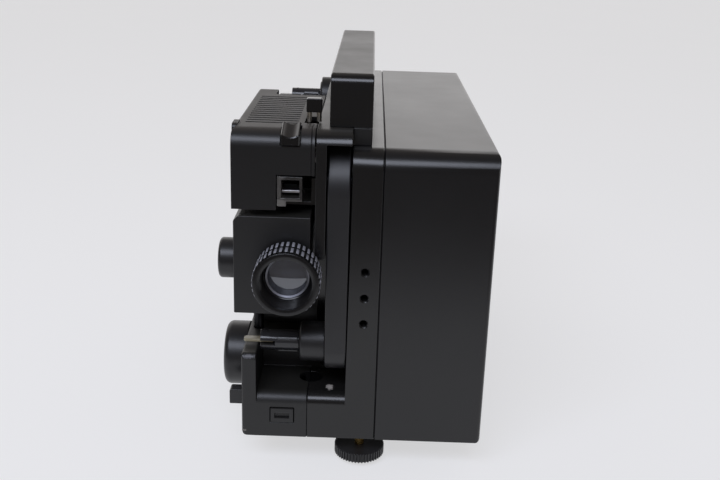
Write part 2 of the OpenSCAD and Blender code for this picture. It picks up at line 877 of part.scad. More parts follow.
module motor_case() {
    foot_w = 18;
    color("#7c7d80") difference() {
        union() {
            rod_y(x_motor, [y_motor, y_motor + motor_len], motor_z, motor_r);
            rod_y(x_motor, [y_motor - 3, y_motor], motor_z, 6);
            box([x_motor, -plate_t], [y_motor + 4, y_motor + motor_len - 4],
                [motor_z - foot_w / 2, motor_z + foot_w / 2]);
        }
        rod_y(x_motor, [y_motor - 3 - over, y_motor + motor_len + over], motor_z, motor_shaft_r + fit);
    }
}

module motor_shaft() {
    color(steel) rod_y(x_motor, [y_shutter - 3, y_fan + fan_len + 1], motor_z, motor_shaft_r);
}

module shutter_disc() {
    hub_out = 5;
    hub_len = 6;
    blade_len = 14;
    color("#3a3a3c") difference() {
        union() {
            rod_y(x_motor, [y_shutter, y_shutter + shutter_t], motor_z, shutter_r);
            rod_y(x_motor, [y_shutter + shutter_t, y_shutter + shutter_t + hub_len], motor_z, hub_out);
        }
        rod_y(x_motor, [y_shutter - over, y_shutter + shutter_t + hub_len + over], motor_z, motor_shaft_r);
        for (a = [0:120:240])
            translate([x_motor, y_shutter - over, motor_z]) rotate([-90, 0, 0]) rotate([0, 0, a])
                rotate_extrude(angle = 60) translate([shutter_r - blade_len, 0])
                    square([blade_len + over, shutter_t + 2 * over]);
    }
}

module cooling_fan() {
    blade_n = 12;
    color("#4a4a4d") difference() {
        union() {
            rod_y(x_motor, [y_fan, y_fan + 1.5], motor_z, fan_r);
            rod_y(x_motor, [y_fan + 1.5, y_fan + fan_len], motor_z, 5);
            for (i = [0:blade_n - 1])
                translate([x_motor, y_fan + 1.5, motor_z]) rotate([-90, 360 / blade_n * i, 0])
                    translate([8, -0.5, 0]) cube([fan_r - 8.5, 1, fan_len - 1.5]);
        }
        rod_y(x_motor, [y_fan - over, y_fan + fan_len + over], motor_z, motor_shaft_r);
    }
}

core_w = 44;
core_h = 56;
core_len = 66;
core_back = 100;
y_core = body_len - core_back;
z_core = rail_t + 4;

module transformer_core() {
    leg = core_len / 6;
    color("#5c5a57") difference() {
        box([0, core_w], [y_core, y_core + core_len], [z_core, z_core + core_h]);
        for (i = [0, 1])
            box([-over, core_w + over],
                [y_core + leg + i * 3 * leg, y_core + 2 * leg + i * 3 * leg],
                [z_core + leg, z_core + core_h - leg]);
    }
}

module transformer_coil() {
    leg = core_len / 6;
    color("#a0602c") for (i = [0, 1])
        box([2, core_w - 2], [y_core + leg + i * 3 * leg, y_core + 2 * leg + i * 3 * leg],
            [z_core + leg, z_core + core_h - leg]);
}

board_len = 96;
board_h = 62;
board_y = y_shutter + 14;
board_z = 18;
board_off = 8;
board_t = 1.6;

module control_board() {
    color("#2f5a3a") union() {
        box([board_off, board_off + board_t], [board_y, board_y + board_len], [board_z, board_z + board_h]);
        for (y = [board_y + 5, board_y + board_len - 5], z = [board_z + 5, board_z + board_h - 5])
            rod_x([0, board_off], y, z, 2.5);
    }
}

module board_parts() {
    x0 = board_off + board_t;
    can_r = 6;
    can_h = 22;
    can_pitch = 16;
    can_at = [20, 44];
    relay = [12, 24, 26];
    relay_at = [62, 8];
    chip = [4, 4, 12];
    chip_pitch = 9;
    chip_at = [12, 12];
    color("#35353a") {
        for (i = [0:2])
            rod_x([x0, x0 + can_h], board_y + can_at[0] + i * can_pitch, board_z + can_at[1], can_r);
        translate([x0, board_y + relay_at[0], board_z + relay_at[1]]) cube(relay);
        for (i = [0:4])
            translate([x0, board_y + chip_at[0] + i * chip_pitch, board_z + chip_at[1]]) cube(chip);
    }
}

inlet_depth = 16;
inlet_rim = 2;

module mains_inlet() {
    y1 = body_len - wall;
    w = inlet_hole_w / 2;
    h = inlet_hole_h / 2;
    color(black) difference() {
        box([x_mains - w - 3, x_mains + w + 3], [y1 - inlet_depth - inlet_rim, y1],
            [z_mains - h - 3, z_mains + h + 3]);
        box([x_mains - w, x_mains + w], [y1 - inlet_depth, y1 + over], [z_mains - h, z_mains + h]);
    }
}

module mains_pins() {
    y0 = body_len - wall - inlet_depth;
    color("#c9a24a") for (side = [-1, 1])
        rod_y(x_mains + side * 6, [y0, y0 + inlet_depth - 3], z_mains, 2);
}

module rear_feet() {
    color(black) for (x = rear_foot_x)
        rod_z(x, rear_foot_y, [-foot_h + pad_t, 0], rear_foot_d / 2);
}

module rear_pads() {
    color("#161617") for (x = rear_foot_x)
        rod_z(x, rear_foot_y, [-foot_h, -foot_h + pad_t], rear_foot_d / 2 - 0.8);
}

module feed_arm() {
    color(black) difference() {
        along_x([x_arm0, x_arm1]) difference() {
            arm_outline(feed_y, spindle_z, arm_top_z);
            corner_cut([feed_y - arm_r, arm_top_z + arm_r], [1, -1], arm_front_r);
        }
        rod_x([x_arm0 - over, x_arm1 + over], pivot_y, pivot_z, pin_r + fit);
        rod_x([x_arm0 - over, x_arm0 + 8], feed_y, spindle_z, shaft_r + fit);
    }
}

module feed_hub() {
    color(satin) difference() {
        union() {
            rod_x([x_feed_hub + 1, x_arm0], feed_y, spindle_z, hub_r);
            translate([x_feed_hub, feed_y, spindle_z]) rotate([0, 90, 0])
                cylinder(h = 1, r1 = hub_r - 1, r2 = hub_r);
        }
        rod_x([x_feed_hub - over, x_arm0 + over], feed_y, spindle_z, shaft_r + fit);
    }
}

// Spindle on an axis along X, with its hub's face at x = 0 and its tip to the left
module reel_spindle(hub_len) {
    color(satin) difference() {
        union() {
            rod_x([-spindle_len - gap, -gap], 0, 0, spindle_r);
            rod_x([-gap, hub_len + 6], 0, 0, shaft_r);
            for (i = [0:spline_n - 1]) rotate([360 / spline_n * i + 180, 0, 0])
                box([-spline_len - gap, -gap - 1], [-spline_w / 2, spline_w / 2], [0, spindle_r + spline_h]);
        }
        box([-spindle_len - gap - over, -spindle_len - gap + slit_len],
            [-spindle_r - over, spindle_r + over], [-slit_t / 2, slit_t / 2]);
        rod_z(-spindle_len - gap + clip_pivot, 0, [-spindle_r, spindle_r], clip_pin_r);
    }
}

// Leaf that swings across the tip of a spindle and holds the reel
module reel_clip() {
    xp = -spindle_len - gap + clip_pivot;
    color("#d9d3bd") difference() {
        union() {
            box([-spindle_len - gap - clip_out, xp + clip_tail], [-clip_w / 2, clip_w / 2],
                [-clip_t / 2, clip_t / 2]);
            rod_z(xp, 0, [-spindle_r + 1, spindle_r - 1], clip_pin_r - fit);
        }
        for (side = [-1, 1])
            along_z([-clip_t, clip_t])
                corner_cut([-spindle_len - gap - clip_out, side * clip_w / 2], [1, -side], 1.4);
    }
}

module feed_spindle() {
    translate([x_feed_hub, feed_y, spindle_z]) reel_spindle(feed_hub_len);
}

module feed_clip() {
    translate([x_feed_hub, feed_y, spindle_z]) reel_clip();
}

module takeup_arm() {
    color(black) difference() {
        along_x([x_take0, x_take1]) arm_outline(takeup_y, takeup_pivot_z, takeup_spindle_z);
        rod_x([x_take0 - over, x_take1 + over], takeup_y, takeup_pivot_z, pin_r + fit);
        rod_x([x_take0 - over, x_take0 + 8], takeup_y, takeup_spindle_z, shaft_r + fit);
    }
}

module takeup_hub() {
    color(satin) difference() {
        rod_x([x_takeup_hub, x_take0], takeup_y, takeup_spindle_z, hub_r);
        rod_x([x_takeup_hub - over, x_take0 + over], takeup_y, takeup_spindle_z, shaft_r + fit);
    }
}

module takeup_spindle() {
    translate([x_takeup_hub, takeup_y, takeup_spindle_z]) reel_spindle(takeup_hub_len);
}

module takeup_clip() {
    translate([x_takeup_hub, takeup_y, takeup_spindle_z]) reel_clip();
}

focus_shaft_r = 2.5;
focus_shaft_in = 11;

module lens_carrier() {
    color(black) difference() {
        union() {
            along_z([z_car0, z_car1]) polygon([
                [x_car0, 0], [x_car1, 0], [x_car1, carrier_d], [x_car0 + carrier_rear_cut, carrier_d],
                [x_car0, carrier_d - carrier_rear_cut]
            ]);
            rod_z(x_hinge, y_hinge, [z_car0 + 3, z_car1 - 3], hinge_boss_r);
            box([x_hinge - hinge_boss_r, x_hinge + hinge_boss_r], [carrier_d - 2, y_hinge],
                [z_car0 + 3, z_car1 - 3]);
        }
        rod_y(x_lens, [-over, carrier_d + over], lens_z, tube_r + fit);
        rod_z(x_hinge, y_hinge, [z_car0, z_car1], hinge_pin_r + fit);
        rod_x([x_car0 - over, x_car0 + focus_shaft_in], focus_y, lens_z, focus_shaft_r + fit);
        along_y([-over, carrier_d + over]) polygon([
            [x_car0 - over, z_car1 + over], [x_car0 - over, z_car1 - carrier_chamfer - over],
            [x_car0 + carrier_chamfer + over, z_car1 + over]
        ]);
        along_y([-over, carrier_d + over]) polygon([
            [x_car1 + over, z_car0 - over], [x_car1 + over, z_car0 + carrier_corner + over],
            [x_car1 - carrier_corner - over, z_car0 - over]
        ]);
    }
}

module pressure_plate() {
    color(steel) difference() {
        box([x_lens - pressure_w / 2, x_lens + pressure_w / 2], [carrier_d, carrier_d + pressure_t],
            [lens_z - pressure_h / 2, lens_z + pressure_h / 2]);
        rod_y(x_lens, [carrier_d - over, carrier_d + pressure_t + over], lens_z, pressure_hole_r);
    }
}

module knob_outline(r, len, rim) {
    difference() {
        square([r, len]);
        corner_cut([r, len], [-1, -1], rim);
    }
}

module focus_knob() {
    x1 = x_car0 - gap;
    color(black) union() {
        translate([x1, focus_y, lens_z]) rotate([0, -90, 0]) rotate_extrude()
            knob_outline(focus_d / 2, focus_len, 2);
        rod_x([x1, x_car0 + focus_shaft_in - gap], focus_y, lens_z, focus_shaft_r);
    }
}

module lens_tube() {
    color(black) difference() {
        rod_y(x_lens, [y_ring1, barrel_in], lens_z, tube_r);
        rod_y(x_lens, [y_ring1 - over, barrel_in + over], lens_z, rear_glass_r);
    }
}

module lens_barrel() {
    chamfer = 0.3;
    y_rim = y_glass + glass_sag;
    color(black) translate([x_lens, 0, lens_z]) rotate([-90, 0, 0]) rotate_extrude() polygon([
        [rear_glass_r, y_ring1], [barrel_r, y_ring1], [barrel_r, y_bezel1], [bezel_r, y_bezel1],
        [bezel_r, y_bezel0 + chamfer], [bezel_r - chamfer, y_bezel0], [glass_r + 2.4, y_bezel0],
        [glass_r + 1, y_rim - 1.6], [glass_r, y_rim - 0.4],
        [glass_r, y_glass + glass_t], [rear_glass_r, y_glass + glass_t + 2.6]
    ]);
}

module rear_glass() {
    color("#c4d2dc") rod_y(x_lens, [barrel_in - rear_glass_t - 1, barrel_in - 1], lens_z, rear_glass_r);
}

module front_glass() {
    color("#c4d2dc") translate([x_lens, y_glass, lens_z]) rotate([-90, 0, 0]) rotate_extrude()
        intersection() {
            square([glass_r, glass_t]);
            translate([0, glass_curve]) circle(r = glass_curve);
        }
}

module zoom_ring() {
    root = ring_d / 2 - knurl_h;
    row = (ring_len - knurl_groove - 2) / 2;
    color(black) difference() {
        union() {
            rod_y(x_lens, [y_ring0, y_ring1], lens_z, root);
            for (i = [0, 1])
                translate([x_lens, y_ring0 + 1 + i * (row + knurl_groove), lens_z]) rotate([-90, 0, 0])
                    linear_extrude(row) polygon(toothed(knurl_n, root - 0.2, ring_d / 2));
        }
        rod_y(x_lens, [y_ring0 - over, y_ring1 + over], lens_z, barrel_r + fit);
    }
}

module upper_shell(inset) {
    x0 = x_up0 + inset;
    z1 = z_top - inset;
    difference() {
        along_x([x0, x_up1 + (inset > 0 ? over : 0)]) difference() {
            translate([inset, z_up - (inset > 0 ? over : 0)])
                square([upper_len - 2 * inset, upper_h - inset + (inset > 0 ? over : 0)]);
            corner_cut([inset, z1], [1, -1], frame_r + 0.6 - inset);
            corner_cut([upper_len - inset, z1], [-1, -1], corner_r - min(inset, corner_r - 0.5));
        }
        along_y([-over, upper_len + over])
            corner_cut([x0, z1], [1, -1], corner_r - min(inset, corner_r - 0.5));
        box([x_up0 + upper_left - inset, x_up1 + 2 * over], [upper_short - inset, upper_len + over],
            [z_up - 2 * over, z_top + over]);
    }
}

module cover_lug() {
    lug_y = 10;
    lug_len = 14;
    lug_low = 7;
    lug_high = 1.2;
    lug_r = 3;
    along_x([x_up0 - 0.6, x_up0 + wall]) difference() {
        translate([lug_y, z_top - lug_low]) square([lug_len, lug_low + lug_high]);
        corner_cut([lug_y, z_top + lug_high], [1, -1], lug_r);
        corner_cut([lug_y + lug_len, z_top + lug_high], [-1, -1], lug_r);
    }
}

module upper_cover() {
    slot_x = x_up0 + 5.6;
    groove = 0.5;
    groove_x = x_up1 - 2.2;
    front_r = frame_r + 0.6;
    color(black) difference() {
        union() {
            upper_shell(0);
            cover_lug();
        }
        upper_shell(wall);
        for (i = [0:slot_n - 1])
            box([slot_x, slot_x + slot_len], [slot_y + i * slot_pitch, slot_y + i * slot_pitch + slot_w],
                [z_top - wall - over, z_top + over]);
        box([x_inlet, x_up1 + over], [-over, wall + over], [z_up - over, z_up + inlet_h]);
        box([x_lever_slot, x_up1 + over], [lever_slot_y0, lever_slot_y1],
            [z_top - wall - over, z_top + over]);
        box([x_catch - catch_w / 2 - gap, x_catch + catch_w / 2 + gap],
            [-over, catch_d - catch_over + catch_travel + gap], [z_top - catch_low - gap, z_top + over]);
        along_x([groove_x, groove_x + groove]) difference() {
            translate([-over, z_up + inlet_h]) square([slot_y + over, upper_h - inlet_h + over]);
            difference() {
                translate([groove, z_up]) square([upper_len, upper_h - groove]);
                corner_cut([groove, z_top - groove], [1, -1], front_r - groove);
            }
        }
    }
}

module cover_catch() {
    x0 = x_catch - catch_w / 2;
    y0 = -catch_over;
    y1 = y0 + catch_d;
    z0 = z_top - catch_low;
    lip_z = z_top - 2;
    back_z = z_top + 2.7;
    slope = atan2(back_z - lip_z, catch_d);
    scoop_r = 7.4;
    cheek = 1;
    scoop_up = sqrt(scoop_r ^ 2 - (catch_w / 2 - cheek) ^ 2);
    color(satin) difference() {
        along_x([x0, x0 + catch_w]) polygon([[y0, z0], [y1, z0], [y1, back_z], [y0, lip_z]]);
        translate([x_catch, y0, lip_z]) rotate([slope, 0, 0])
            rod_y(0, [-catch_d, 2 * catch_d], scoop_up, scoop_r);
    }
}

module selector_knob() {
    x1 = x_base - gap;
    pointer = 1.2;
    color(black) difference() {
        union() {
            translate([x1, knob_y, knob_z]) rotate([0, -90, 0]) rotate_extrude()
                knob_outline(knob_d / 2, knob_len, knob_r);
            rod_x([x1, x_base + base_wall + 5], knob_y, knob_z, shaft_r);
        }
        box([x_knob - over, x_knob + 0.8], [knob_y - pointer / 2, knob_y + pointer / 2],
            [knob_z + 6, knob_z + knob_d / 2 + over]);
    }
}

module side_button() {
    y1 = button_y0 + button_d;
    z1 = button_z0 + button_h;
    flange = 1.5;
    color(satin) union() {
        along_y([button_y0, y1]) difference() {
            translate([x_base - button_out, button_z0]) square([button_out + base_wall + gap, button_h]);
            corner_cut([x_base - button_out, z1], [1, -1], 1.5);
        }
        box([x_base + base_wall + gap, x_base + base_wall + gap + 2], [button_y0 - flange, y1 + flange],
            [button_z0 - flange, z1 - flange]);
    }
}

module foot_pad() {
    color("#161617") difference() {
        rod_z(x_foot_axis, foot_y, [-foot_h, -foot_h + pad_t], pad_d / 2);
        rod_z(x_foot_axis, foot_y, [-foot_h + stud_seat - foot_gap, 0], stud_r + fit);
    }
}

module foot_wheel() {
    wheel_r = wheel_d / 2;
    color(black) translate([x_foot_axis, foot_y, wheel_z0]) difference() {
        linear_extrude(wheel_t) polygon(toothed(48, wheel_r - 0.8, wheel_r));
        translate([0, 0, -over]) cylinder(h = wheel_t + 2 * over, r = stud_r);
    }
}

module foot_stud() {
    color("#b5924c") rod_z(x_foot_axis, foot_y, [-foot_h + stud_seat, stud_top], stud_r);
}

place() chassis_frame();
place() rear_cover();
place() cover_screws();
place() film_frame();
place() handle_spine();
place() handle();
place() base_housing();
place() slot_plate();
place() lamp_house();
place() lamp_reflector();
place() lamp_bulb();
place() lamp_socket();
place() gate_plate();
place() film_channel();
place() film_inlet();
place() inlet_strip();
place() lever_rail();
place() carrier_pin();
place() feed_pin();
place() takeup_pin();
place() motor_case();
place() transformer_core();
place() transformer_coil();
place() control_board();
place() board_parts();
place() mains_inlet();
place() mains_pins();
place() rear_feet();
place() rear_pads();
place() feed_arm();
place() feed_hub();
place() feed_spindle();
place() feed_clip();
place() takeup_arm();
place() takeup_hub();
place() takeup_spindle();
place() takeup_clip();
place() lens_carrier();
place() pressure_plate();
place() focus_knob();
place() lens_barrel();
place() lens_tube();
place() front_glass();
place() rear_glass();
place() zoom_ring();
place() upper_cover();
place() cover_catch();
place() lever_stems();
place() lever_cap();
place() selector_knob();
place() side_button();
place() foot_pad();
place() foot_wheel();
place() foot_stud();
place() motor_shaft();
place() shutter_disc();
place() cooling_fan();
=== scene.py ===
import math

import bpy
from mathutils import Matrix, Vector
from mathutils.bvhtree import BVHTree


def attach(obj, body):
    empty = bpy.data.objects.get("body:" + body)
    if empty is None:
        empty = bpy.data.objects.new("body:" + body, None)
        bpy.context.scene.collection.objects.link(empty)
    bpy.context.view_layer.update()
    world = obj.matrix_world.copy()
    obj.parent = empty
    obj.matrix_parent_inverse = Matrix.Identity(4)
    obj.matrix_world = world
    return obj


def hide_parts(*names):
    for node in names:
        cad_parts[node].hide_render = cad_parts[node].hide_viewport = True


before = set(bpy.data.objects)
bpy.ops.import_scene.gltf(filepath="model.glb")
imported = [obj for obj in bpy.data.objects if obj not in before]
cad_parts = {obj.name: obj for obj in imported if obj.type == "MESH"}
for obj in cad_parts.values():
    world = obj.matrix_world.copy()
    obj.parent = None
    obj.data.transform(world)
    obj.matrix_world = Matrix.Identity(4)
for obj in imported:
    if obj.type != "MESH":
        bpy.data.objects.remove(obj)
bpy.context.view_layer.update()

# Camera: stands half a metre before the lens and a little above the handle,
# nearly square to the front, with a short telephoto view.
right = Vector((0.99940, 0.01623, 0.03064))
up = Vector((-0.03423, 0.32019, 0.94673))
forward = Vector((-0.00555, 0.94721, -0.32056))
eye = Vector((0.00618, -0.65156, 0.31997))
bpy.ops.object.select_all(action="DESELECT")
bpy.ops.object.camera_add()
camera = bpy.context.object
camera.name = "photo_camera"
camera.matrix_world = (Matrix.Translation(eye)
                       @ Matrix((right, up, -forward)).transposed().to_4x4())
camera.data.sensor_width = 36
camera.data.lens = 47.08
bpy.context.scene.camera = camera
bpy.context.scene.view_settings.view_transform = "Standard"


# Table, room and lamp: a pale table top whose front edge is 0.3 m before the lens, a pale
# wall low down behind it, a dim room elsewhere, and one wide soft lamp high up in front.
def linear(code):
    """Linear RGBA of an sRGB hex colour."""
    shares = [int(code[i:i + 2], 16) / 255 for i in (0, 2, 4)]
    return tuple(c / 12.92 if c <= 0.04045 else ((c + 0.055) / 1.055) ** 2.4
                 for c in shares) + (1.0,)


def add(tree, kind, settings={}, sockets={}, links={}):
    """Adds a node, sets its properties and sockets, and links sockets to other nodes' outputs."""
    made = tree.nodes.new(kind)
    for name, value in settings.items():
        setattr(made, name, value)
    for name, value in sockets.items():
        made.inputs[name].default_value = value
    for name, source in links.items():
        tree.links.new(source, made.inputs[name])
    return made


# Matt laminate: smooth and pale, with hardly any shine and a faint drift of tone, 400 mm across.
laminate = bpy.data.materials.new("matt_white_laminate")
laminate.use_nodes = True
tree = laminate.node_tree
shader = tree.nodes["Principled BSDF"]
shader.inputs["Roughness"].default_value = 0.7
shader.inputs["Specular IOR Level"].default_value = 0.2
place = add(tree, "ShaderNodeTexCoord").outputs["Object"]
cloud = add(tree, "ShaderNodeTexNoise", {}, {"Scale": 1000 / 400, "Detail": 2.0},
            {"Vector": place})
tone = add(tree, "ShaderNodeValToRGB", links={"Fac": cloud.outputs["Fac"]})
tone.color_ramp.elements[0].color = linear("eceef0")
tone.color_ramp.elements[1].color = linear("f2f2f4")
tree.links.new(tone.outputs["Color"], shader.inputs["Base Color"])
# Seen directly or in a shiny face, part of the top glows by itself, which keeps its shadows soft.
glow_share = 0.62
path = add(tree, "ShaderNodeLightPath")
shown = add(tree, "ShaderNodeMath", {"operation": "MAXIMUM"}, {},
            {0: path.outputs["Is Camera Ray"], 1: path.outputs["Is Glossy Ray"]})
shown = add(tree, "ShaderNodeMath", {"operation": "MAXIMUM"}, {},
            {0: shown.outputs["Value"], 1: path.outputs["Is Transmission Ray"]})
share = add(tree, "ShaderNodeMath", {"operation": "MULTIPLY"}, {1: glow_share},
            {0: shown.outputs["Value"]})
glow = add(tree, "ShaderNodeEmission", {}, {"Color": linear("fcfcfe"), "Strength": 1.0})
mixed = add(tree, "ShaderNodeMixShader", {}, {},
            {0: share.outputs["Value"], 1: shader.outputs["BSDF"], 2: glow.outputs["Emission"]})
tree.links.new(mixed.outputs["Shader"], tree.nodes["Material Output"].inputs["Surface"])

table_front = -0.47
half_width, half_depth = 9, 5
bpy.ops.object.select_all(action="DESELECT")
bpy.ops.mesh.primitive_plane_add(size=2)
table = bpy.context.object
table.name = "table_top"
table.scale = (half_width, half_depth, 1)
table.location = (0, table_front + half_depth, 0)
bpy.ops.object.transform_apply(location=True, rotation=True, scale=True)
table.data.materials.append(laminate)

# The wall is a band of the world, low down (Z) and straight behind (Y, and X either way).
room_level, wall_gain = 0.2, 1.1
room = bpy.data.worlds.new("soft_room")
bpy.context.scene.world = room
room.use_nodes = True
tree = room.node_tree
tree.nodes.clear()
around = add(tree, "ShaderNodeTexCoord").outputs["Generated"]
way = add(tree, "ShaderNodeSeparateXYZ", links={"Vector": around})
behind = add(tree, "ShaderNodeMapRange", {"interpolation_type": "SMOOTHSTEP"},
             {"From Min": -0.1, "From Max": 0.6}, {"Value": way.outputs["Y"]})
low = add(tree, "ShaderNodeMapRange", {"interpolation_type": "SMOOTHSTEP"},
          {"From Min": 0.42, "From Max": 0.72, "To Min": 1.0, "To Max": 0.1},
          {"Value": way.outputs["Z"]})
aside = add(tree, "ShaderNodeMath", {"operation": "ABSOLUTE"}, {}, {0: way.outputs["X"]})
ahead = add(tree, "ShaderNodeMapRange", {"interpolation_type": "SMOOTHSTEP"},
            {"From Min": 0.4, "From Max": 0.9, "To Min": 1.0, "To Max": 0.3},
            {"Value": aside.outputs["Value"]})
band = add(tree, "ShaderNodeMath", {"operation": "MULTIPLY"}, {},
           {0: behind.outputs["Result"], 1: low.outputs["Result"]})
pale = add(tree, "ShaderNodeMath", {"operation": "MULTIPLY"}, {},
           {0: band.outputs["Value"], 1: ahead.outputs["Result"]})
level = add(tree, "ShaderNodeMath", {"operation": "MULTIPLY_ADD"}, {1: wall_gain, 2: room_level},
            {0: pale.outputs["Value"]})
hue = add(tree, "ShaderNodeValToRGB", links={"Fac": pale.outputs["Value"]})
hue.color_ramp.elements[0].color = linear("e6dcd6")
hue.color_ramp.elements[1].color = linear("f0eeee")
lit = add(tree, "ShaderNodeBackground", {}, {},
          {"Color": hue.outputs["Color"], "Strength": level.outputs["Value"]})
wall = add(tree, "ShaderNodeBackground", {}, {"Color": linear("e4e4e5"), "Strength": 1.0})
seen = add(tree, "ShaderNodeLightPath").outputs["Is Camera Ray"]
both = add(tree, "ShaderNodeMixShader", {}, {},
           {0: seen, 1: lit.outputs["Background"], 2: wall.outputs["Background"]})
add(tree, "ShaderNodeOutputWorld", {}, {}, {"Surface": both.outputs["Shader"]})

lamp_aim = Vector((0, 0, 0.1))
bpy.ops.object.select_all(action="DESELECT")
bpy.ops.object.light_add(type="AREA", location=(-0.4, -1.35, 1.5))
lamp = bpy.context.object
lamp.name = "front_lamp"
lamp.data.shape = "RECTANGLE"
lamp.data.size = 1.7
lamp.data.size_y = 0.75
lamp.data.energy = 22
lamp.data.color = linear("e8eeff")[:3]
lamp.rotation_euler = (lamp_aim - lamp.location).to_track_quat("-Z", "Y").to_euler()


# Chassis: the black strip between the two halves, with an L-shaped foot at the front
# and three small blind holes. It is one ABS moulding that everything screws to.
def eased(node, name, radius_mm, steps=3, smooth=40, inner_mm=None, shortest_mm=0.0):
    """A merged copy of a CAD solid whose sharp edges are rounded as a mould leaves them.

    Edges past inner_mm on X stay sharp, and so do edges shorter than shortest_mm. Faces that
    meet at less than smooth degrees shade as one.
    """
    flat_angle, sharp_angle = math.radians(0.5), math.radians(32)
    merged_m, shrunk_m, touching_m = 2e-6, 1e-6, 5e-5
    turned_cosine = -0.3
    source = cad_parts[node]
    bpy.ops.object.select_all(action="DESELECT")
    source.select_set(True)
    bpy.context.view_layer.objects.active = source
    bpy.ops.object.duplicate()
    piece = bpy.context.object
    piece.name = name
    piece.data.name = name
    piece.parent = None
    for key in list(piece.keys()):
        del piece[key]
    piece.data.materials.clear()
    bpy.ops.mesh.customdata_custom_splitnormals_clear()
    bpy.ops.object.mode_set(mode="EDIT")
    bpy.ops.mesh.select_all(action="SELECT")
    bpy.ops.mesh.remove_doubles(threshold=merged_m)
    bpy.ops.mesh.dissolve_degenerate(threshold=shrunk_m)
    bpy.ops.mesh.dissolve_limited(angle_limit=flat_angle)
    bpy.ops.mesh.select_mode(type="EDGE")
    bpy.ops.mesh.select_all(action="DESELECT")
    bpy.ops.mesh.edges_select_sharp(sharpness=sharp_angle)
    bpy.ops.object.mode_set(mode="OBJECT")
    mesh = piece.data
    weights = mesh.attributes.new("bevel_weight_edge", "FLOAT", "EDGE")
    for edge, weight in zip(mesh.edges, weights.data):
        ends = [mesh.vertices[i].co for i in edge.vertices]
        inner = inner_mm is None or max(end.x for end in ends) < inner_mm / 1000
        long_enough = (ends[0] - ends[1]).length >= shortest_mm / 1000
        weight.value = float(edge.select and inner and long_enough)
    rounding = piece.modifiers.new("rounding", "BEVEL")
    rounding.width = radius_mm / 1000
    rounding.segments = steps
    rounding.limit_method = "WEIGHT"
    rounding.use_clamp_overlap = False
    bpy.ops.object.modifier_apply(modifier=rounding.name)
    # Where two edges meet at a hair's angle the rounding overshoots, so it is kept in the
    # solid's box.
    low, high = source.bound_box[0], source.bound_box[6]
    for point in mesh.vertices:
        point.co = [min(max(c, a), b) for c, a, b in zip(point.co, low, high)]
    # A rounding wider than the rim it runs into folds a flat face. Such a face is cut up, and
    # its turned triangles are turned back.
    solid = BVHTree.FromPolygons([point.co for point in source.data.vertices],
                                 [face.vertices[:] for face in source.data.polygons])

    def folded(corners, normal):
        centre = sum((mesh.vertices[i].co for i in corners), Vector()) / len(corners)
        _, outward, _, gap = solid.find_nearest(centre)
        return gap < touching_m and normal.dot(outward) < turned_cosine

    mesh.calc_loop_triangles()
    creased = {triangle.polygon_index for triangle in mesh.loop_triangles
               if folded(triangle.vertices, triangle.normal)}
    if creased:
        bpy.ops.object.mode_set(mode="EDIT")
        bpy.ops.mesh.select_mode(type="FACE")
        bpy.ops.mesh.select_all(action="DESELECT")
        bpy.ops.object.mode_set(mode="OBJECT")
        for face in mesh.polygons:
            face.select = face.index in creased
        bpy.ops.object.mode_set(mode="EDIT")
        bpy.ops.mesh.quads_convert_to_tris(quad_method="FIXED", ngon_method="CLIP")
        bpy.ops.object.mode_set(mode="OBJECT")
        for face in mesh.polygons:
            if folded(face.vertices, face.normal):
                face.flip()
        mesh.update()
    # The selection goes back to points, for the pieces that are modelled later.
    bpy.context.tool_settings.mesh_select_mode = (True, False, False)
    bpy.ops.object.shade_smooth_by_angle(angle=math.radians(smooth))
    evened = piece.modifiers.new("evened", "WEIGHTED_NORMAL")
    evened.keep_sharp = True
    bpy.ops.object.modifier_apply(modifier=evened.name)
    return piece


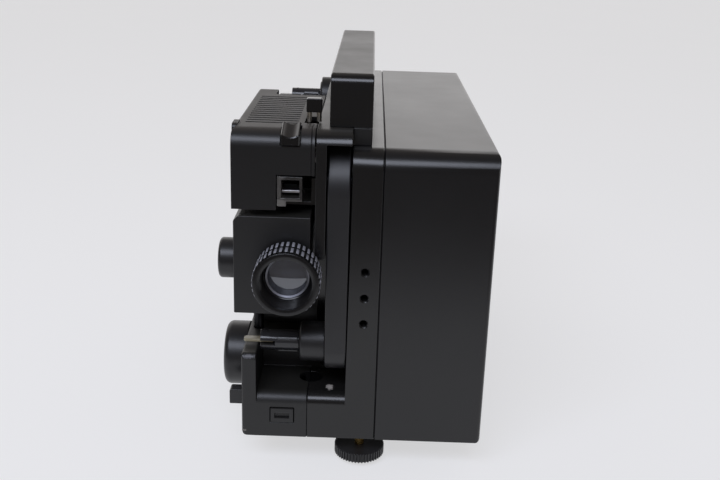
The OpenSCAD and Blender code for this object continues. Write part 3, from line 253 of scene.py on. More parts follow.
def moulded(name, shade, dust, grain_mm, relief_mm, rough, chips_and_highlights=(), dulled=0.0):
    """Moulded ABS and the like: grain, slow drifts of shine, and dust on what faces up.

    Real grain is mostly 0.05 to 0.2 mm across, too fine to show; grain_mm is how it is drawn.
    Each chip or painted highlight is a place in metres, its half sizes in millimetres and its
    colour.
    dulled is how much rougher the dust makes a face.
    """
    drift_mm, ragged_mm, ragged_share = 45, 0.9, 1.8
    finish = bpy.data.materials.new(name)
    finish.use_nodes = True
    tree = finish.node_tree
    shader = tree.nodes["Principled BSDF"]
    shader.inputs["IOR"].default_value = 1.53
    place = add(tree, "ShaderNodeTexCoord").outputs["Object"]
    grain = add(tree, "ShaderNodeTexNoise", {}, {"Scale": 1000 / grain_mm, "Detail": 2.0},
                {"Vector": place})
    relief = add(tree, "ShaderNodeBump", {}, {"Strength": 0.5, "Distance": relief_mm / 1000},
                 {"Height": grain.outputs["Fac"]})
    tree.links.new(relief.outputs["Normal"], shader.inputs["Normal"])
    drift = add(tree, "ShaderNodeTexNoise", {},
                {"Scale": 1000 / drift_mm, "Detail": 4.0, "Roughness": 0.6}, {"Vector": place})
    shine = add(tree, "ShaderNodeMapRange", {},
                {"From Min": 0.3, "From Max": 0.7, "To Min": rough - 0.02, "To Max": rough + 0.02},
                {"Value": drift.outputs["Fac"]})
    facing = add(tree, "ShaderNodeSeparateXYZ",
                 links={"Vector": add(tree, "ShaderNodeNewGeometry").outputs["Normal"]})
    flat = add(tree, "ShaderNodeMapRange", {}, {"From Min": 0.7, "From Max": 0.97},
               {"Value": facing.outputs["Z"]})
    thin = add(tree, "ShaderNodeMapRange", {},
               {"From Min": 0.3, "From Max": 0.7, "To Min": 0.75, "To Max": 1.0},
               {"Value": drift.outputs["Fac"]})
    settled = add(tree, "ShaderNodeMath", {"operation": "MULTIPLY"}, {},
                  {0: flat.outputs["Result"], 1: thin.outputs["Result"]})
    dull = add(tree, "ShaderNodeMath", {"operation": "MULTIPLY_ADD"}, {1: dulled},
               {0: settled.outputs["Value"], 2: shine.outputs["Result"]})
    tree.links.new(dull.outputs["Value"], shader.inputs["Roughness"])
    tone = add(tree, "ShaderNodeValToRGB", links={"Fac": settled.outputs["Value"]})
    tone.color_ramp.elements[0].color = linear(shade)
    tone.color_ramp.elements[1].color = linear(dust)
    colour = tone.outputs["Color"]
    # Pale marks: real chips and scuffs, and a painted highlight where a mark stands for one.
    for spot, half_mm, pale in chips_and_highlights:
        size = [1000 / half for half in half_mm]
        shift = tuple(-p * s for p, s in zip(spot, size))
        near = add(tree, "ShaderNodeMapping", {}, {"Location": shift, "Scale": size},
                   {"Vector": place})
        reach = add(tree, "ShaderNodeVectorMath", {"operation": "LENGTH"}, {},
                    {0: near.outputs["Vector"]})
        ragged = add(tree, "ShaderNodeTexNoise", {}, {"Scale": 1000 / ragged_mm, "Detail": 3.0},
                     {"Vector": place})
        edge = add(tree, "ShaderNodeMath", {"operation": "MULTIPLY_ADD"}, {1: ragged_share},
                   {0: ragged.outputs["Fac"], 2: reach.outputs["Value"]})
        bare_and_highlit = add(tree, "ShaderNodeMapRange", {},
                   {"From Min": 1.6, "From Max": 1.8, "To Min": 1.0, "To Max": 0.0},
                   {"Value": edge.outputs["Value"]})
        # A Mix node's colours go in at 6 and 7 and come out at 2.
        mix = add(tree, "ShaderNodeMix", {"data_type": "RGBA"}, {7: linear(pale)},
                  {0: bare_and_highlit.outputs["Result"], 6: colour})
        colour = mix.outputs[2]
    tree.links.new(colour, shader.inputs["Base Color"])
    return finish


# ABS from a finely blasted mould: deep black and even. The blasting is about 0.1 mm across
# and is drawn at 0.7 mm so that it shows. The foot's top is chipped pale in one spot, with a
# nick below it.
fine_abs = moulded("fine_satin_moulded_abs", "101011", "201f1e", 0.7, 0.01, 0.25, [
    ((-0.0124, -0.1339, 0.049), (2.6, 4.2, 1.5), "b9b3ac"),
    ((-0.0048, -0.1435, 0.0427), (0.9, 1.0, 0.9), "8a8783")])
chassis = eased("chassis_frame", "chassis_moulding", 0.6, shortest_mm=0.9)
chassis.data.materials.append(fine_abs)
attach(chassis, "chassis")
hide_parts("chassis_frame")

# Right cover: the deep smooth box over motor, transformer and board.
# Moulded in ABS with well-rounded edges, and held to the chassis by four screws.
# The edges of the slots and pockets in its outer wall are sharp.
# ABS from a satin-blasted mould: deep black, with soft wide highlights; drawn as above.
satin_abs = moulded("satin_moulded_abs", "131315", "252322", 0.7, 0.012, 0.3)
cover = eased("rear_cover", "right_cover_moulding", 0.4, inner_mm=17)
cover.data.materials.append(satin_abs)
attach(cover, "chassis")
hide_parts("rear_cover")


# Cover screws: four raised-head steel screws, sunk in pockets of the right cover.
# They are zinc plated, so a little dull and bluish.
def plated(name, shade, stain, brush_mm, rough):
    """A plated or ground metal: fine lines along X, and faint stains in its shine.

    Real lines are about 0.05 mm apart, too fine to show; brush_mm is how they are drawn.
    """
    line_stretch, stain_mm = 0.12, 9
    finish = bpy.data.materials.new(name)
    finish.use_nodes = True
    tree = finish.node_tree
    shader = tree.nodes["Principled BSDF"]
    shader.inputs["Metallic"].default_value = 1.0
    place = add(tree, "ShaderNodeTexCoord").outputs["Object"]
    across = add(tree, "ShaderNodeMapping", {}, {"Scale": (line_stretch, 1.0, 1.0)},
                 {"Vector": place})
    lines = add(tree, "ShaderNodeTexNoise", {}, {"Scale": 1000 / brush_mm, "Detail": 3.0},
                {"Vector": across.outputs["Vector"]})
    relief = add(tree, "ShaderNodeBump", {}, {"Strength": 0.35, "Distance": 0.00002},
                 {"Height": lines.outputs["Fac"]})
    tree.links.new(relief.outputs["Normal"], shader.inputs["Normal"])
    cloud = add(tree, "ShaderNodeTexNoise", {}, {"Scale": 1000 / stain_mm, "Detail": 4.0},
                {"Vector": place})
    tone = add(tree, "ShaderNodeValToRGB", links={"Fac": cloud.outputs["Fac"]})
    tone.color_ramp.elements[0].color = linear(stain)
    tone.color_ramp.elements[0].position = 0.3
    tone.color_ramp.elements[1].color = linear(shade)
    tone.color_ramp.elements[1].position = 0.6
    tree.links.new(tone.outputs["Color"], shader.inputs["Base Color"])
    shine = add(tree, "ShaderNodeMapRange", {}, {"To Min": rough - 0.08, "To Max": rough + 0.1},
                {"Value": cloud.outputs["Fac"]})
    tree.links.new(shine.outputs["Result"], shader.inputs["Roughness"])
    return finish


zinc_steel = plated("zinc_plated_steel", "b4b6ba", "8b8c8e", 0.6, 0.38)
screws = eased("cover_screws", "cover_screw_set", 0.15, steps=2)
screws.data.materials.append(zinc_steel)
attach(screws, "chassis")
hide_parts("cover_screws")

# Film-side frame: the post beside the feed arm, the bar above it and the long panel
# that carries lens, lamp and cover. One ABS moulding, screwed to the chassis.
# Semi-gloss ABS, from a finely stoned mould: dark on its flats, bright on its roundings.
# The scratches of the stone, under 0.1 mm apart, are drawn at 0.7 mm.
stoned_abs = moulded("semi_gloss_moulded_abs", "121213", "33312d", 0.7, 0.008, 0.22, dulled=0.2)
panel = eased("film_frame", "film_side_moulding", 0.5)
panel.data.materials.append(stoned_abs)
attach(panel, "chassis")
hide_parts("film_frame")

# Carry handle: a black ABS bar along the top, on a low spine over the chassis.
# Its front end slopes down to the spine, and both are screwed from below.
# ABS from a spark-eroded mould: a dull, fine-pitted skin. The pits are about 0.15 mm wide and
# are drawn at 0.9 mm so that they show. The base, of the same finish, has a pale mark along the
# upper front edge of its cheek, partly a scuff and partly a painted highlight on that rounding.
# It is nicked at its lower corner.
eroded_abs = moulded("spark_eroded_abs", "161617", "282724", 0.9, 0.06, 0.44, [
    # The cheek's mark is partly a scuff and partly a painted highlight on its rounded edge.
    ((-0.0610, -0.1440, 0.0728), (4.2, 2.2, 1.5), "56565a"),
    ((-0.0635, -0.1450, 0.0235), (1.5, 1.0, 0.8), "77726c")])
spine = eased("handle_spine", "handle_spine_moulding", 0.5)
spine.data.materials.append(eroded_abs)
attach(spine, "chassis")
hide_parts("handle_spine")
grip = eased("handle", "handle_moulding", 0.6)
grip.data.materials.append(stoned_abs)
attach(grip, "chassis")
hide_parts("handle")

# Base housing: shelf, cheek and round well under the lens, in textured black ABS,
# with a thin slotted plate let into its front. The cheek's upper edge is scuffed, and a painted
# highlight lies along it as well.
base = eased("base_housing", "base_moulding", 0.7)
base.data.materials.append(eroded_abs)
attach(base, "chassis")
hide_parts("base_housing")
plate = eased("slot_plate", "slotted_plate", 0.38, steps=2, smooth=20)
plate.data.materials.append(satin_abs)
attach(plate, "chassis")
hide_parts("slot_plate")

# Lamp house: a box round the lamp with a beam hole to the gate, in heat-proof black ABS,
# with a bright glass reflector, a small halogen lamp and its ceramic holder inside.
lamp_box = eased("lamp_house", "lamp_house_moulding", 0.5)
lamp_box.data.materials.append(eroded_abs)
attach(lamp_box, "chassis")
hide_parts("lamp_house")

# Sputtered aluminium on glass: a nearly perfect mirror with a slight ripple.
bright_mirror = plated("sputtered_aluminium_mirror", "e6e7ea", "d6d8dc", 3.0, 0.1)
reflector = eased("lamp_reflector", "lamp_mirror", 0.2, steps=2)
reflector.data.materials.append(bright_mirror)
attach(reflector, "chassis")
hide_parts("lamp_reflector")

# Quartz glass: clear, with a faint warm haze where the filament has smoked it.
quartz = bpy.data.materials.new("fused_quartz")
quartz.use_nodes = True
tree = quartz.node_tree
shader = tree.nodes["Principled BSDF"]
shader.inputs["IOR"].default_value = 1.46
shader.inputs["Transmission Weight"].default_value = 0.9
place = add(tree, "ShaderNodeTexCoord").outputs["Object"]
smoke_mm = 4
smoke = add(tree, "ShaderNodeTexNoise", {}, {"Scale": 1000 / smoke_mm, "Detail": 3.0},
            {"Vector": place})
tone = add(tree, "ShaderNodeValToRGB", links={"Fac": smoke.outputs["Fac"]})
tone.color_ramp.elements[0].color = linear("d8d2c6")
tone.color_ramp.elements[1].color = linear("f3f3f1")
tree.links.new(tone.outputs["Color"], shader.inputs["Base Color"])
shine = add(tree, "ShaderNodeMapRange", {}, {"To Min": 0.02, "To Max": 0.12},
            {"Value": smoke.outputs["Fac"]})
tree.links.new(shine.outputs["Result"], shader.inputs["Roughness"])
bulb = eased("lamp_bulb", "halogen_lamp", 0.3)
bulb.data.materials.append(quartz)
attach(bulb, "chassis")
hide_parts("lamp_bulb")

# Pressed steatite: chalky and pale, with a fine sandy surface, drawn at 0.6 mm.
steatite = moulded("pressed_steatite", "b8ae98", "c9c1ae", 0.6, 0.03, 0.75)
holder = eased("lamp_socket", "lamp_holder", 0.2)
holder.data.materials.append(steatite)
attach(holder, "chassis")
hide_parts("lamp_socket")

# Film gate and film channel: a ground steel plate with the picture window behind the lens,
# and a black moulded trough that leads the film in from the front. Both are screwed in.
# Ground steel: bright and cool, with straight fine lines from the wheel.
ground_steel = plated("ground_steel", "c2c2c4", "9c9c9e", 0.5, 0.3)
gate = eased("gate_plate", "film_gate", 0.1, steps=2)
gate.data.materials.append(ground_steel)
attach(gate, "chassis")
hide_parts("gate_plate")
channel = eased("film_channel", "film_trough", 0.3)
channel.data.materials.append(stoned_abs)
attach(channel, "chassis")
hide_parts("film_channel")

# Film inlet: a smoky clear acrylic frame in the front of the upper cover, with a bright
# steel strip across it that the film runs over. The frame clips to the channel; its left leg
# is paler, most of all at the frosted heel on which it stands.
# Smoky acrylic: half clear and grey-brown, with slow streaks of flow about 6 mm wide.
leg_pale_x, leg_clear_x = -0.0412, -0.0398
heel_pale_z, heel_clear_z = 0.1695, 0.1712
flow_mm, flow_share = 6, 0.3
acrylic = bpy.data.materials.new("smoky_clear_acrylic")
acrylic.use_nodes = True
tree = acrylic.node_tree
shader = tree.nodes["Principled BSDF"]
shader.inputs["IOR"].default_value = 1.49
shader.inputs["Transmission Weight"].default_value = 0.55
place = add(tree, "ShaderNodeTexCoord").outputs["Object"]
flow = add(tree, "ShaderNodeTexNoise", {}, {"Scale": 1000 / flow_mm, "Detail": 3.0},
           {"Vector": place})
along = add(tree, "ShaderNodeSeparateXYZ", links={"Vector": place})
leg = add(tree, "ShaderNodeMapRange", {},
          {"From Min": leg_pale_x, "From Max": leg_clear_x, "To Min": 0.32, "To Max": 0.0},
          {"Value": along.outputs["X"]})
heel = add(tree, "ShaderNodeMapRange", {},
           {"From Min": heel_pale_z, "From Max": heel_clear_z, "To Min": 0.7, "To Max": 0.0},
           {"Value": along.outputs["Z"]})
thick = add(tree, "ShaderNodeMath", {"operation": "ADD"}, {},
            {0: leg.outputs["Result"], 1: heel.outputs["Result"]})
streak = add(tree, "ShaderNodeMath", {"operation": "MULTIPLY_ADD"}, {1: flow_share},
             {0: flow.outputs["Fac"], 2: thick.outputs["Value"]})
tone = add(tree, "ShaderNodeValToRGB", links={"Fac": streak.outputs["Value"]})
tone.color_ramp.elements[0].color = linear("242322")
tone.color_ramp.elements[1].color = linear("a5a19b")
tree.links.new(tone.outputs["Color"], shader.inputs["Base Color"])
shine = add(tree, "ShaderNodeMapRange", {}, {"To Min": 0.1, "To Max": 0.25},
            {"Value": flow.outputs["Fac"]})
tree.links.new(shine.outputs["Result"], shader.inputs["Roughness"])
inlet = eased("film_inlet", "film_inlet_frame", 0.45)
inlet.data.materials.append(acrylic)
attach(inlet, "chassis")
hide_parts("film_inlet")
strip = eased("inlet_strip", "film_strip", 0.4)
strip.data.materials.append(ground_steel)
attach(strip, "chassis")
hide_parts("inlet_strip")

# Pins and rail: ground steel pins that the two arms and the lens carrier turn on,
# and the flat rail on which the lever slides. Pressed into the mouldings.
# The pins at the front, of carrier and feed arm, are coloured near black as painted shade for the
# shadow they sit in, so that they don't glint.
painted_shade_steel = plated("painted_shade_steel", "2b2b2d", "1c1c1d", 0.5, 0.4)
for node, name, metal in (("lever_rail", "lever_guide_rail", ground_steel),
                          ("carrier_pin", "carrier_hinge_pin", painted_shade_steel),
                          ("feed_pin", "feed_arm_pin", painted_shade_steel),
                          ("takeup_pin", "takeup_arm_pin", ground_steel)):
    pin = eased(node, name, 0.2, steps=2)
    pin.data.materials.append(metal)
    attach(pin, "chassis")
    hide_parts(node)

# Motor, shutter and fan: a plated motor case in the middle, and on its shaft a three-bladed
# shutter painted matt black and a small moulded fan.
# Plated motor steel: mid grey and satin, with faint lines from the drawing of the case.
plated_case = plated("plated_motor_steel", "8c8d90", "77787b", 0.8, 0.35)
motor = eased("motor_case", "motor", 0.2)
motor.data.materials.append(plated_case)
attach(motor, "chassis")
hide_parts("motor_case")
shaft = eased("motor_shaft", "motor_axle", 0.25, steps=2)
shaft.data.materials.append(ground_steel)
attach(shaft, "rotor")
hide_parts("motor_shaft")
# Stove enamel, matt: flat black with a slight orange peel about 1 mm across.
matt_enamel = moulded("matt_stove_enamel", "1b1b1b", "242424", 1.0, 0.02, 0.6)
shutter = eased("shutter_disc", "shutter_blades", 0.2, steps=2)
shutter.data.materials.append(matt_enamel)
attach(shutter, "rotor")
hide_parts("shutter_disc")
# Glass-filled nylon: dull dark grey, with a skin of streaks about 1.4 mm across.
fan_nylon = moulded("glass_filled_nylon", "47474a", "505052", 1.4, 0.03, 0.55)
fan = eased("cooling_fan", "fan_wheel", 0.2, steps=2)
fan.data.materials.append(fan_nylon)
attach(fan, "rotor")
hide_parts("cooling_fan")

# Transformer: a stack of varnished iron sheets with two enamelled copper windings,
# bolted inside the right cover.
# Varnished iron: dark brownish grey with a dull metal shine. The sheets are 0.5 mm thick
# and are drawn as bands of 9.43 mm. A wave texture turns 20 radians in a unit of its scale.
wave = 2 * math.pi / 20
sheet_mm = 9.43
iron = bpy.data.materials.new("varnished_lamination_iron")
iron.use_nodes = True
tree = iron.node_tree
shader = tree.nodes["Principled BSDF"]
shader.inputs["Metallic"].default_value = 0.4
shader.inputs["Roughness"].default_value = 0.5
place = add(tree, "ShaderNodeTexCoord").outputs["Object"]
sheets = add(tree, "ShaderNodeTexWave", {"bands_direction": "X"},
             {"Scale": 1000 / sheet_mm * wave, "Distortion": 0.6, "Detail": 2.0},
             {"Vector": place})
tone = add(tree, "ShaderNodeValToRGB", links={"Fac": sheets.outputs["Fac"]})
tone.color_ramp.elements[0].color = linear("38342f")
tone.color_ramp.elements[1].color = linear("5b5751")
tree.links.new(tone.outputs["Color"], shader.inputs["Base Color"])
relief = add(tree, "ShaderNodeBump", {}, {"Strength": 0.5, "Distance": 0.0002},
             {"Height": sheets.outputs["Fac"]})
tree.links.new(relief.outputs["Normal"], shader.inputs["Normal"])
core = eased("transformer_core", "transformer_stack", 0.3, steps=2)
core.data.materials.append(iron)
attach(core, "chassis")
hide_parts("transformer_core")
# Enamelled copper wire: reddish brown and half shiny. The wire is 0.6 mm thick, and its turns
# are drawn 7.54 mm apart.
turn_mm = 7.54
copper = bpy.data.materials.new("enamelled_copper_wire")
copper.use_nodes = True
tree = copper.node_tree
shader = tree.nodes["Principled BSDF"]
shader.inputs["Metallic"].default_value = 0.7
shader.inputs["Roughness"].default_value = 0.34
place = add(tree, "ShaderNodeTexCoord").outputs["Object"]
turns = add(tree, "ShaderNodeTexWave", {"bands_direction": "Z"},
            {"Scale": 1000 / turn_mm * wave, "Distortion": 0.8, "Detail": 1.0},
            {"Vector": place})
tone = add(tree, "ShaderNodeValToRGB", links={"Fac": turns.outputs["Fac"]})
tone.color_ramp.elements[0].color = linear("5a2a12")
tone.color_ramp.elements[1].color = linear("b0662f")
tree.links.new(tone.outputs["Color"], shader.inputs["Base Color"])
relief = add(tree, "ShaderNodeBump", {}, {"Strength": 0.8, "Distance": 0.0004},
             {"Height": turns.outputs["Fac"]})
tree.links.new(relief.outputs["Normal"], shader.inputs["Normal"])
winding = eased("transformer_coil", "transformer_windings", 2.0, steps=4)
winding.data.materials.append(copper)
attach(winding, "chassis")
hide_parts("transformer_coil")

# Control board: a green glass-fibre board on four posts, with three capacitors,
# a relay and a row of small packages soldered to it.
# Glass epoxy: translucent green under a smooth lacquer, its weave drawn at 0.8 mm.
board_laminate = moulded("glass_epoxy_board", "2c5b38", "38684a", 0.8, 0.01, 0.35)
board = eased("control_board", "circuit_board", 0.15, steps=2)
board.data.materials.append(board_laminate)
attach(board, "chassis")
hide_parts("control_board")
# Moulded epoxy: dark grey with a fine matt skin, drawn at 0.8 mm.
epoxy = moulded("moulded_epoxy", "2a2a2e", "3a3a3d", 0.8, 0.015, 0.42)
parts = eased("board_parts", "board_components", 0.4)
parts.data.materials.append(epoxy)
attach(parts, "chassis")
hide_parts("board_parts")

# Mains socket: a black moulded well in the back of the right cover, with two brass pins
# pressed into its floor.
socket = eased("mains_inlet", "mains_socket_moulding", 0.5)
socket.data.materials.append(satin_abs)
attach(socket, "chassis")
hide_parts("mains_inlet")
# Turned brass: warm yellow, a little dulled, with fine tool lines.
turned_brass = plated("turned_brass", "c9ac6c", "9a7f4a", 0.5, 0.4)
pins = eased("mains_pins", "mains_pin_pair", 0.4)
pins.data.materials.append(turned_brass)
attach(pins, "chassis")
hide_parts("mains_pins")

# Rear feet: two moulded ABS studs under the back of the machine,
# each with a round rubber pad glued on below.
feet = eased("rear_feet", "rear_foot_pair", 0.8)
feet.data.materials.append(satin_abs)
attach(feet, "chassis")
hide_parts("rear_feet")
# Moulded natural rubber: dull charcoal with a dry bloom, drawn at 0.8 mm.
rubber = moulded("moulded_rubber", "161616", "262524", 0.8, 0.03, 0.72)
pads = eased("rear_pads", "rear_pad_pair", 0.5)
pads.data.materials.append(rubber)
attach(pads, "chassis")
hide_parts("rear_pads")

# Feed arm and hub: the long arm folded down into its slot, with a round bearing hub at
# its lower end. Matt dark ABS, a shade lighter than the body, hung on a steel pin.
arm_abs = moulded("matt_moulded_abs", "1e1e20", "333231", 0.8, 0.015, 0.4)
arm = eased("feed_arm", "feed_arm_moulding", 1.0, steps=4)
arm.data.materials.append(arm_abs)
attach(arm, "feed_arm")
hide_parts("feed_arm")
hub = eased("feed_hub", "feed_hub_moulding", 0.6)
hub.data.materials.append(arm_abs)
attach(hub, "feed_arm")
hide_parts("feed_hub")

# Reel spindles and clips: splined dark grey acetal spindles, each slit at its tip for a
# clip that flips up to hold the reel, cream on the feed arm and grey on the other.
# Acetal: smooth and slightly waxy, with a broad soft shine.
grey_acetal = moulded("moulded_grey_acetal", "2d2d30", "3a393a", 1.2, 0.006, 0.17)
cream_acetal = moulded("moulded_cream_acetal", "a0987f", "938b76", 1.5, 0.008, 0.32)
for side, clip_acetal in (("feed", cream_acetal), ("takeup", grey_acetal)):
    spindle = eased(side + "_spindle", side + "_reel_spindle", 0.3)
    spindle.data.materials.append(grey_acetal)
    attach(spindle, side + "_spindle")
    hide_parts(side + "_spindle")
    clip = eased(side + "_clip", side + "_reel_clip", 0.45)
    clip.data.materials.append(clip_acetal)
    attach(clip, side + "_clip")
    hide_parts(side + "_clip")

# Take-up arm and hub: a thinner arm of the same ABS, folded up behind the upper cover,
# with a short hub at its upper end. It turns on a pin low at the back.
arm = eased("takeup_arm", "takeup_arm_moulding", 1.0, steps=4)
arm.data.materials.append(arm_abs)
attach(arm, "takeup_arm")
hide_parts("takeup_arm")
hub = eased("takeup_hub", "takeup_hub_moulding", 0.6)
hub.data.materials.append(arm_abs)
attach(hub, "takeup_arm")
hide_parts("takeup_hub")

# Lens carrier: the block that holds the lens and swings out on its pin, in textured ABS,
# with the sprung steel pressure plate on its back.
carrier = eased("lens_carrier", "lens_carrier_moulding", 0.6)
carrier.data.materials.append(eroded_abs)
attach(carrier, "lens_carrier")
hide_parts("lens_carrier")
pressure = eased("pressure_plate", "film_pressure_plate", 0.25, steps=2)
pressure.data.materials.append(ground_steel)
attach(pressure, "lens_carrier")
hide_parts("pressure_plate")

# Focus knob: a smooth black knob on the carrier's side whose shaft drives the lens.
# ABS from a polished mould: even and dark, with a slight waviness about 1.2 mm across.
gloss_abs = moulded("polished_moulded_abs", "19191b", "2b2a2b", 1.2, 0.006, 0.36)
knob = eased("focus_knob", "focus_knob_moulding", 0.3)
knob.data.materials.append(gloss_abs)
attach(knob, "focus_knob")
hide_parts("focus_knob")


# Lens barrel: a black anodised aluminium tube with a wide front rim and stepped baffles
# down to the glass, turned on a lathe. The rear tube slides in the carrier.
def turned(name, outline_mm, centre, axis, steps):
    """Spins a closed outline of (radius, along) points round an axis, as on a lathe."""
    corner_m, seam_m, crease = 1e-7, 1e-6, math.radians(32)
    axis = Vector(axis)
    outward = Vector((0, 0, 1)) if abs(axis.z) < 0.5 else Vector((1, 0, 0))
    points = [Vector(centre) + outward * (r / 1000) + axis * (a / 1000) for r, a in outline_mm]
    bpy.ops.object.select_all(action="DESELECT")
    bpy.ops.mesh.primitive_plane_add(size=0.001, location=points[0])
    piece = bpy.context.object
    piece.name = name
    piece.data.name = name
    bpy.ops.object.transform_apply(location=True, rotation=True, scale=True)
    bpy.ops.object.mode_set(mode="EDIT")
    bpy.ops.mesh.select_all(action="SELECT")
    bpy.ops.mesh.merge(type="CENTER")
    for start, end in zip(points, points[1:] + points[:1]):
        bpy.ops.mesh.extrude_vertices_move(TRANSFORM_OT_translate={"value": end - start})
    bpy.ops.mesh.select_all(action="SELECT")
    bpy.ops.mesh.remove_doubles(threshold=corner_m)
    bpy.ops.mesh.select_all(action="SELECT")
    bpy.ops.mesh.spin(steps=steps, angle=2 * math.pi, center=centre, axis=axis)
    bpy.ops.mesh.select_all(action="SELECT")
    bpy.ops.mesh.remove_doubles(threshold=seam_m)
    bpy.ops.mesh.normals_make_consistent(inside=False)
    bpy.ops.object.mode_set(mode="OBJECT")
    bpy.ops.object.shade_smooth_by_angle(angle=crease)
    return piece


# Black anodised aluminium: a dense dye over metal, satin, with lathe lines about 0.3 mm apart
# that are drawn 5.03 mm apart.
lens_axis = (-0.0371, 0.0, 0.128)
lathe_mm, wear_mm = 5.03, 5
anodised = bpy.data.materials.new("black_anodised_aluminium")
anodised.use_nodes = True
tree = anodised.node_tree
shader = tree.nodes["Principled BSDF"]
shader.inputs["IOR"].default_value = 1.48
place = add(tree, "ShaderNodeTexCoord").outputs["Object"]
centred = add(tree, "ShaderNodeMapping", {}, {"Location": tuple(-c for c in lens_axis)},
              {"Vector": place})
lathe = add(tree, "ShaderNodeTexWave", {"wave_type": "RINGS", "rings_direction": "Y"},
            {"Scale": 1000 / lathe_mm * wave, "Distortion": 0.4, "Detail": 2.0},
            {"Vector": centred.outputs["Vector"]})
relief = add(tree, "ShaderNodeBump", {}, {"Strength": 0.25, "Distance": 0.00003},
             {"Height": lathe.outputs["Fac"]})
tree.links.new(relief.outputs["Normal"], shader.inputs["Normal"])
wear = add(tree, "ShaderNodeTexNoise", {}, {"Scale": 1000 / wear_mm, "Detail": 4.0},
           {"Vector": place})
tone = add(tree, "ShaderNodeValToRGB", links={"Fac": wear.outputs["Fac"]})
tone.color_ramp.elements[0].color = linear("0b0b0c")
tone.color_ramp.elements[1].color = linear("151517")
tree.links.new(tone.outputs["Color"], shader.inputs["Base Color"])
shine = add(tree, "ShaderNodeMapRange", {}, {"To Min": 0.16, "To Max": 0.3},
            {"Value": wear.outputs["Fac"]})
tree.links.new(shine.outputs["Result"], shader.inputs["Roughness"])

rim = [(18.35, -166.2), (18.6, -166.45), (18.6, -166.7), (18.45, -166.9), (18.2, -167.0),
       (15.3, -167.0), (15.0, -166.85), (14.9, -166.5)]
mouth_r, mouth_y = rim[-1]
baffle_count, baffle_taper, baffle_pitch, baffle_step = 9, 0.12, 1.15, 0.2
baffles = [(mouth_r - baffle_taper * i - drop, mouth_y + baffle_pitch * i + drop)
           for i in range(1, baffle_count + 1) for drop in (0.0, baffle_step)]
barrel_wall = [(7.5, -147.5), (16.5, -147.5), (16.5, -166.2)]
glass_seat = [(13.5, -154.8), (12.55, -154.15), (12.5, -154.05), (12.5, -151.1), (7.5, -148.5)]
barrel = turned("lens_front_barrel", barrel_wall + rim + baffles + glass_seat,
                lens_axis, (0, 1, 0), steps=96)
barrel.data.materials.append(anodised)
# The ring that holds the glass is screwed in behind the baffles; its bevel is cut bare
# and left dull, so it shows as a bright arc where light falls into the barrel.
dull_alloy = plated("dull_turned_aluminium", "8f9098", "76777f", 0.4, 0.45)
keeper = turned("glass_keeper_ring", [
    (12.5, -154.45), (11.5, -153.93), (11.5, -153.9), (12.5, -153.75)],
    lens_axis, (0, 1, 0), steps=96)
keeper.data.materials.append(dull_alloy)
bpy.ops.object.select_all(action="DESELECT")
keeper.select_set(True)
barrel.select_set(True)
bpy.context.view_layer.objects.active = barrel
bpy.ops.object.join()
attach(barrel, "lens_barrel")
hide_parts("lens_barrel")
tube = eased("lens_tube", "lens_rear_tube", 0.2, steps=2)
tube.data.materials.append(anodised)
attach(tube, "lens_barrel")
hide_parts("lens_tube")

# Lens glasses: a slightly curved front element and a small rear one, ground, polished and
# coated. They sit in seats of the barrel and the rear tube.
# Dense flint glass with a coating: dark inside, with a cool mirror-like face and the
# milky haze that old coated glass gets.
flint = bpy.data.materials.new("coated_flint_glass")
flint.use_nodes = True
tree = flint.node_tree
shader = tree.nodes["Principled BSDF"]
shader.inputs["IOR"].default_value = 1.75
shader.inputs["Transmission Weight"].default_value = 0.68
shader.inputs["Roughness"].default_value = 0.02
shader.inputs["Coat Weight"].default_value = 1.0
shader.inputs["Coat IOR"].default_value = 1.6
shader.inputs["Coat Tint"].default_value = linear("e6eaf2")
place = add(tree, "ShaderNodeTexCoord").outputs["Object"]
haze_mm = 7
haze = add(tree, "ShaderNodeTexNoise", {}, {"Scale": 1000 / haze_mm, "Detail": 4.0},
           {"Vector": place})
tone = add(tree, "ShaderNodeValToRGB", links={"Fac": haze.outputs["Fac"]})
tone.color_ramp.elements[0].color = linear("8c8c90")
tone.color_ramp.elements[1].color = linear("a0a1a6")
tree.links.new(tone.outputs["Color"], shader.inputs["Base Color"])
curve, glass_front, glass_back, glass_r = 80.0, -154.7, -151.1, 12.45
glass_face = [(r, glass_front + curve - math.sqrt(curve ** 2 - r ** 2))
              for r in (0, 1.5, 3, 4.5, 6, 7.5, 9, 10.5, glass_r)]
front_glass = turned("front_element", glass_face + [(glass_r, glass_back), (0, glass_back)],
                     lens_axis, (0, 1, 0), steps=96)
front_glass.data.materials.append(flint)
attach(front_glass, "lens_barrel")
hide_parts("front_glass")
rear_glass = turned("rear_element", [
    (0, -114.0), (6, -114.3), (7.4, -114.9), (7.4, -117.0), (0, -117.0)],
    lens_axis, (0, 1, 0), steps=64)
rear_glass.data.materials.append(flint)
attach(rear_glass, "lens_barrel")
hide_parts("rear_glass")

# Zoom ring: a turned black ring with two rows of square teeth for the fingers.
# The teeth are milled, and handling has rubbed their tips to bare metal.
teeth = 38
tooth_w, tooth_len, tooth_top, tooth_sunk, tooth_bevel = 1.6, 6.85, 19.25, 0.3, 0.22
front_row, row_step = -161.475, 9.55
ring_bore, ring_edge, ring_root = 16.55, 17.7, 18.05
ring = turned("zoom_ring_body", [
    (ring_bore, -147.5), (ring_edge, -147.5), (ring_root, -147.9),
    (ring_root, -165.5), (ring_edge, -165.9), (ring_bore, -165.9)],
    lens_axis, (0, 1, 0), steps=108)
bpy.ops.object.select_all(action="DESELECT")
bpy.ops.mesh.primitive_cube_add(size=1, location=(
    lens_axis[0], front_row / 1000, lens_axis[2] + (tooth_top + ring_root - tooth_sunk) / 2000))
tooth = bpy.context.object
tooth.scale = (tooth_w / 1000, tooth_len / 1000, (tooth_top - ring_root + tooth_sunk) / 1000)
bpy.ops.object.transform_apply(location=True, rotation=True, scale=True)
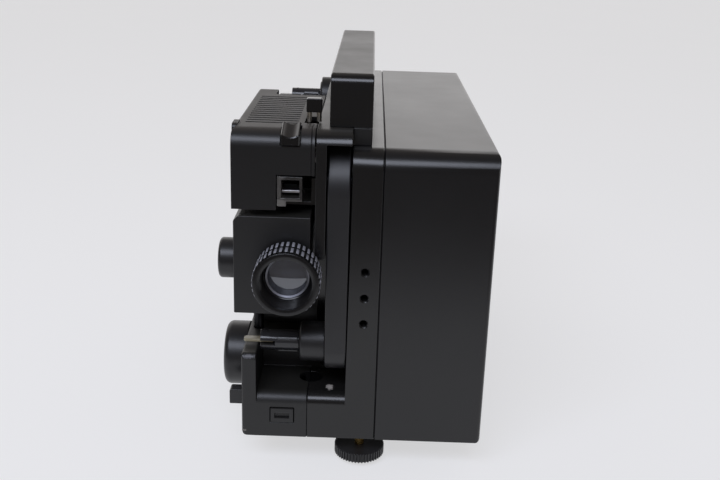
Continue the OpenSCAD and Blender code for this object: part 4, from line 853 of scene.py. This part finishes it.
bpy.ops.object.mode_set(mode="EDIT")
bpy.ops.mesh.select_all(action="SELECT")
bpy.ops.mesh.bevel(offset=tooth_bevel / 1000, segments=2, affect="EDGES")
bpy.ops.mesh.select_all(action="SELECT")
bpy.ops.mesh.duplicate_move(TRANSFORM_OT_translate={"value": (0, row_step / 1000, 0)})
bpy.ops.mesh.select_all(action="SELECT")
bpy.ops.mesh.spin(steps=teeth - 1, dupli=True, angle=2 * math.pi * (teeth - 1) / teeth,
                  center=lens_axis, axis=(0, 1, 0))
bpy.ops.object.mode_set(mode="OBJECT")
bpy.ops.object.shade_smooth_by_angle(angle=math.radians(35))
ring.select_set(True)
bpy.context.view_layer.objects.active = ring
bpy.ops.object.join()
ring = bpy.context.object
# The same anodising, worn through to grey on what stands out furthest from the axis.
rub_from, rub_mm = 18.9, 2.5
rubbed = bpy.data.materials.new("rubbed_black_anodising")
rubbed.use_nodes = True
tree = rubbed.node_tree
shader = tree.nodes["Principled BSDF"]
shader.inputs["IOR"].default_value = 1.6
place = add(tree, "ShaderNodeTexCoord").outputs["Object"]
centred = add(tree, "ShaderNodeMapping", {},
              {"Location": tuple(-c for c in lens_axis), "Scale": (1, 0, 1)}, {"Vector": place})
reach = add(tree, "ShaderNodeVectorMath", {"operation": "LENGTH"}, {},
            {0: centred.outputs["Vector"]})
tip = add(tree, "ShaderNodeMapRange", {},
          {"From Min": rub_from / 1000, "From Max": tooth_top / 1000},
          {"Value": reach.outputs["Value"]})
wear = add(tree, "ShaderNodeTexNoise", {}, {"Scale": 1000 / rub_mm, "Detail": 3.0},
           {"Vector": place})
worn = add(tree, "ShaderNodeMath", {"operation": "MULTIPLY"}, {},
           {0: tip.outputs["Result"], 1: wear.outputs["Fac"]})
tone = add(tree, "ShaderNodeValToRGB", links={"Fac": worn.outputs["Value"]})
tone.color_ramp.elements[0].color = linear("101011")
tone.color_ramp.elements[0].position = 0.1
tone.color_ramp.elements[1].color = linear("d2d4de")
tone.color_ramp.elements[1].position = 0.34
tree.links.new(tone.outputs["Color"], shader.inputs["Base Color"])
metal = add(tree, "ShaderNodeMapRange", {}, {"From Min": 0.1, "From Max": 0.34, "To Max": 0.5},
            {"Value": worn.outputs["Value"]})
tree.links.new(metal.outputs["Result"], shader.inputs["Metallic"])
shine = add(tree, "ShaderNodeMapRange", {}, {"To Min": 0.28, "To Max": 0.42},
            {"Value": wear.outputs["Fac"]})
tree.links.new(shine.outputs["Result"], shader.inputs["Roughness"])
ring.data.materials.clear()
ring.data.materials.append(rubbed)
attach(ring, "zoom_ring")
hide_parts("zoom_ring")

# Upper cover: the vented hood over lamp and film path, in textured ABS. It lifts away,
# and a catch in its top holds it.
# The same spark-eroded ABS, with years of brownish dust in the pits of its top.
dusty_abs = moulded("dusty_spark_eroded_abs", "161617", "3d3935", 0.9, 0.05, 0.36, dulled=0.2)
hood = eased("upper_cover", "upper_cover_moulding", 0.22)
hood.data.materials.append(dusty_abs)
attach(hood, "upper_cover")
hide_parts("upper_cover")

# Cover catch: a sliding black thumb piece with a hollow top and a raised front lip.
# Its mould was lapped to a mirror, so its flats stay black and its edges flash.
lapped_abs = moulded("mirror_lapped_abs", "0f0f10", "161617", 1.5, 0.003, 0.13)
catch = eased("cover_catch", "cover_catch_moulding", 0.48, steps=1, smooth=20)
catch.data.materials.append(lapped_abs)
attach(catch, "cover_catch")
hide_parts("cover_catch")

# Lever: two nickel-plated steel stems that come up through a slot in the cover, under a
# black ABS cap that is pushed onto them.
# Bright nickel: warm white metal, nearly a mirror, with faint polishing lines.
nickel = plated("bright_nickel_plate", "d8d5cc", "bdb9ae", 0.6, 0.22)
stems = eased("lever_stems", "lever_stem_pair", 0.25, steps=2)
stems.data.materials.append(nickel)
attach(stems, "lever")
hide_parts("lever_stems")
cap = eased("lever_cap", "lever_thumb_cap", 0.6)
cap.data.materials.append(lapped_abs)
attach(cap, "lever")
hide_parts("lever_cap")

# Selector knob and button: a large smooth knob with a rounded rim on the left of the base,
# and a square push button before it. Polished ABS.
selector = eased("selector_knob", "selector_knob_moulding", 0.3)
selector.data.materials.append(gloss_abs)
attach(selector, "selector_knob")
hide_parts("selector_knob")
button = eased("side_button", "push_button", 0.6)
button.data.materials.append(gloss_abs)
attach(button, "side_button")
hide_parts("side_button")

# Screw foot: a knurled black wheel on a brass stud, and a small rubber-faced pad below it.
# Turning the wheel lifts the front.
wheel = eased("foot_wheel", "foot_wheel_moulding", 0.25, steps=2)
wheel.data.materials.append(gloss_abs)
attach(wheel, "foot_wheel")
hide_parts("foot_wheel")
stud = eased("foot_stud", "foot_stud_brass", 0.4)
stud.data.materials.append(turned_brass)
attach(stud, "foot_wheel")
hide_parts("foot_stud")
pad = eased("foot_pad", "foot_pad_rubber", 0.4)
pad.data.materials.append(rubber)
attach(pad, "foot_pad")
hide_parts("foot_pad")
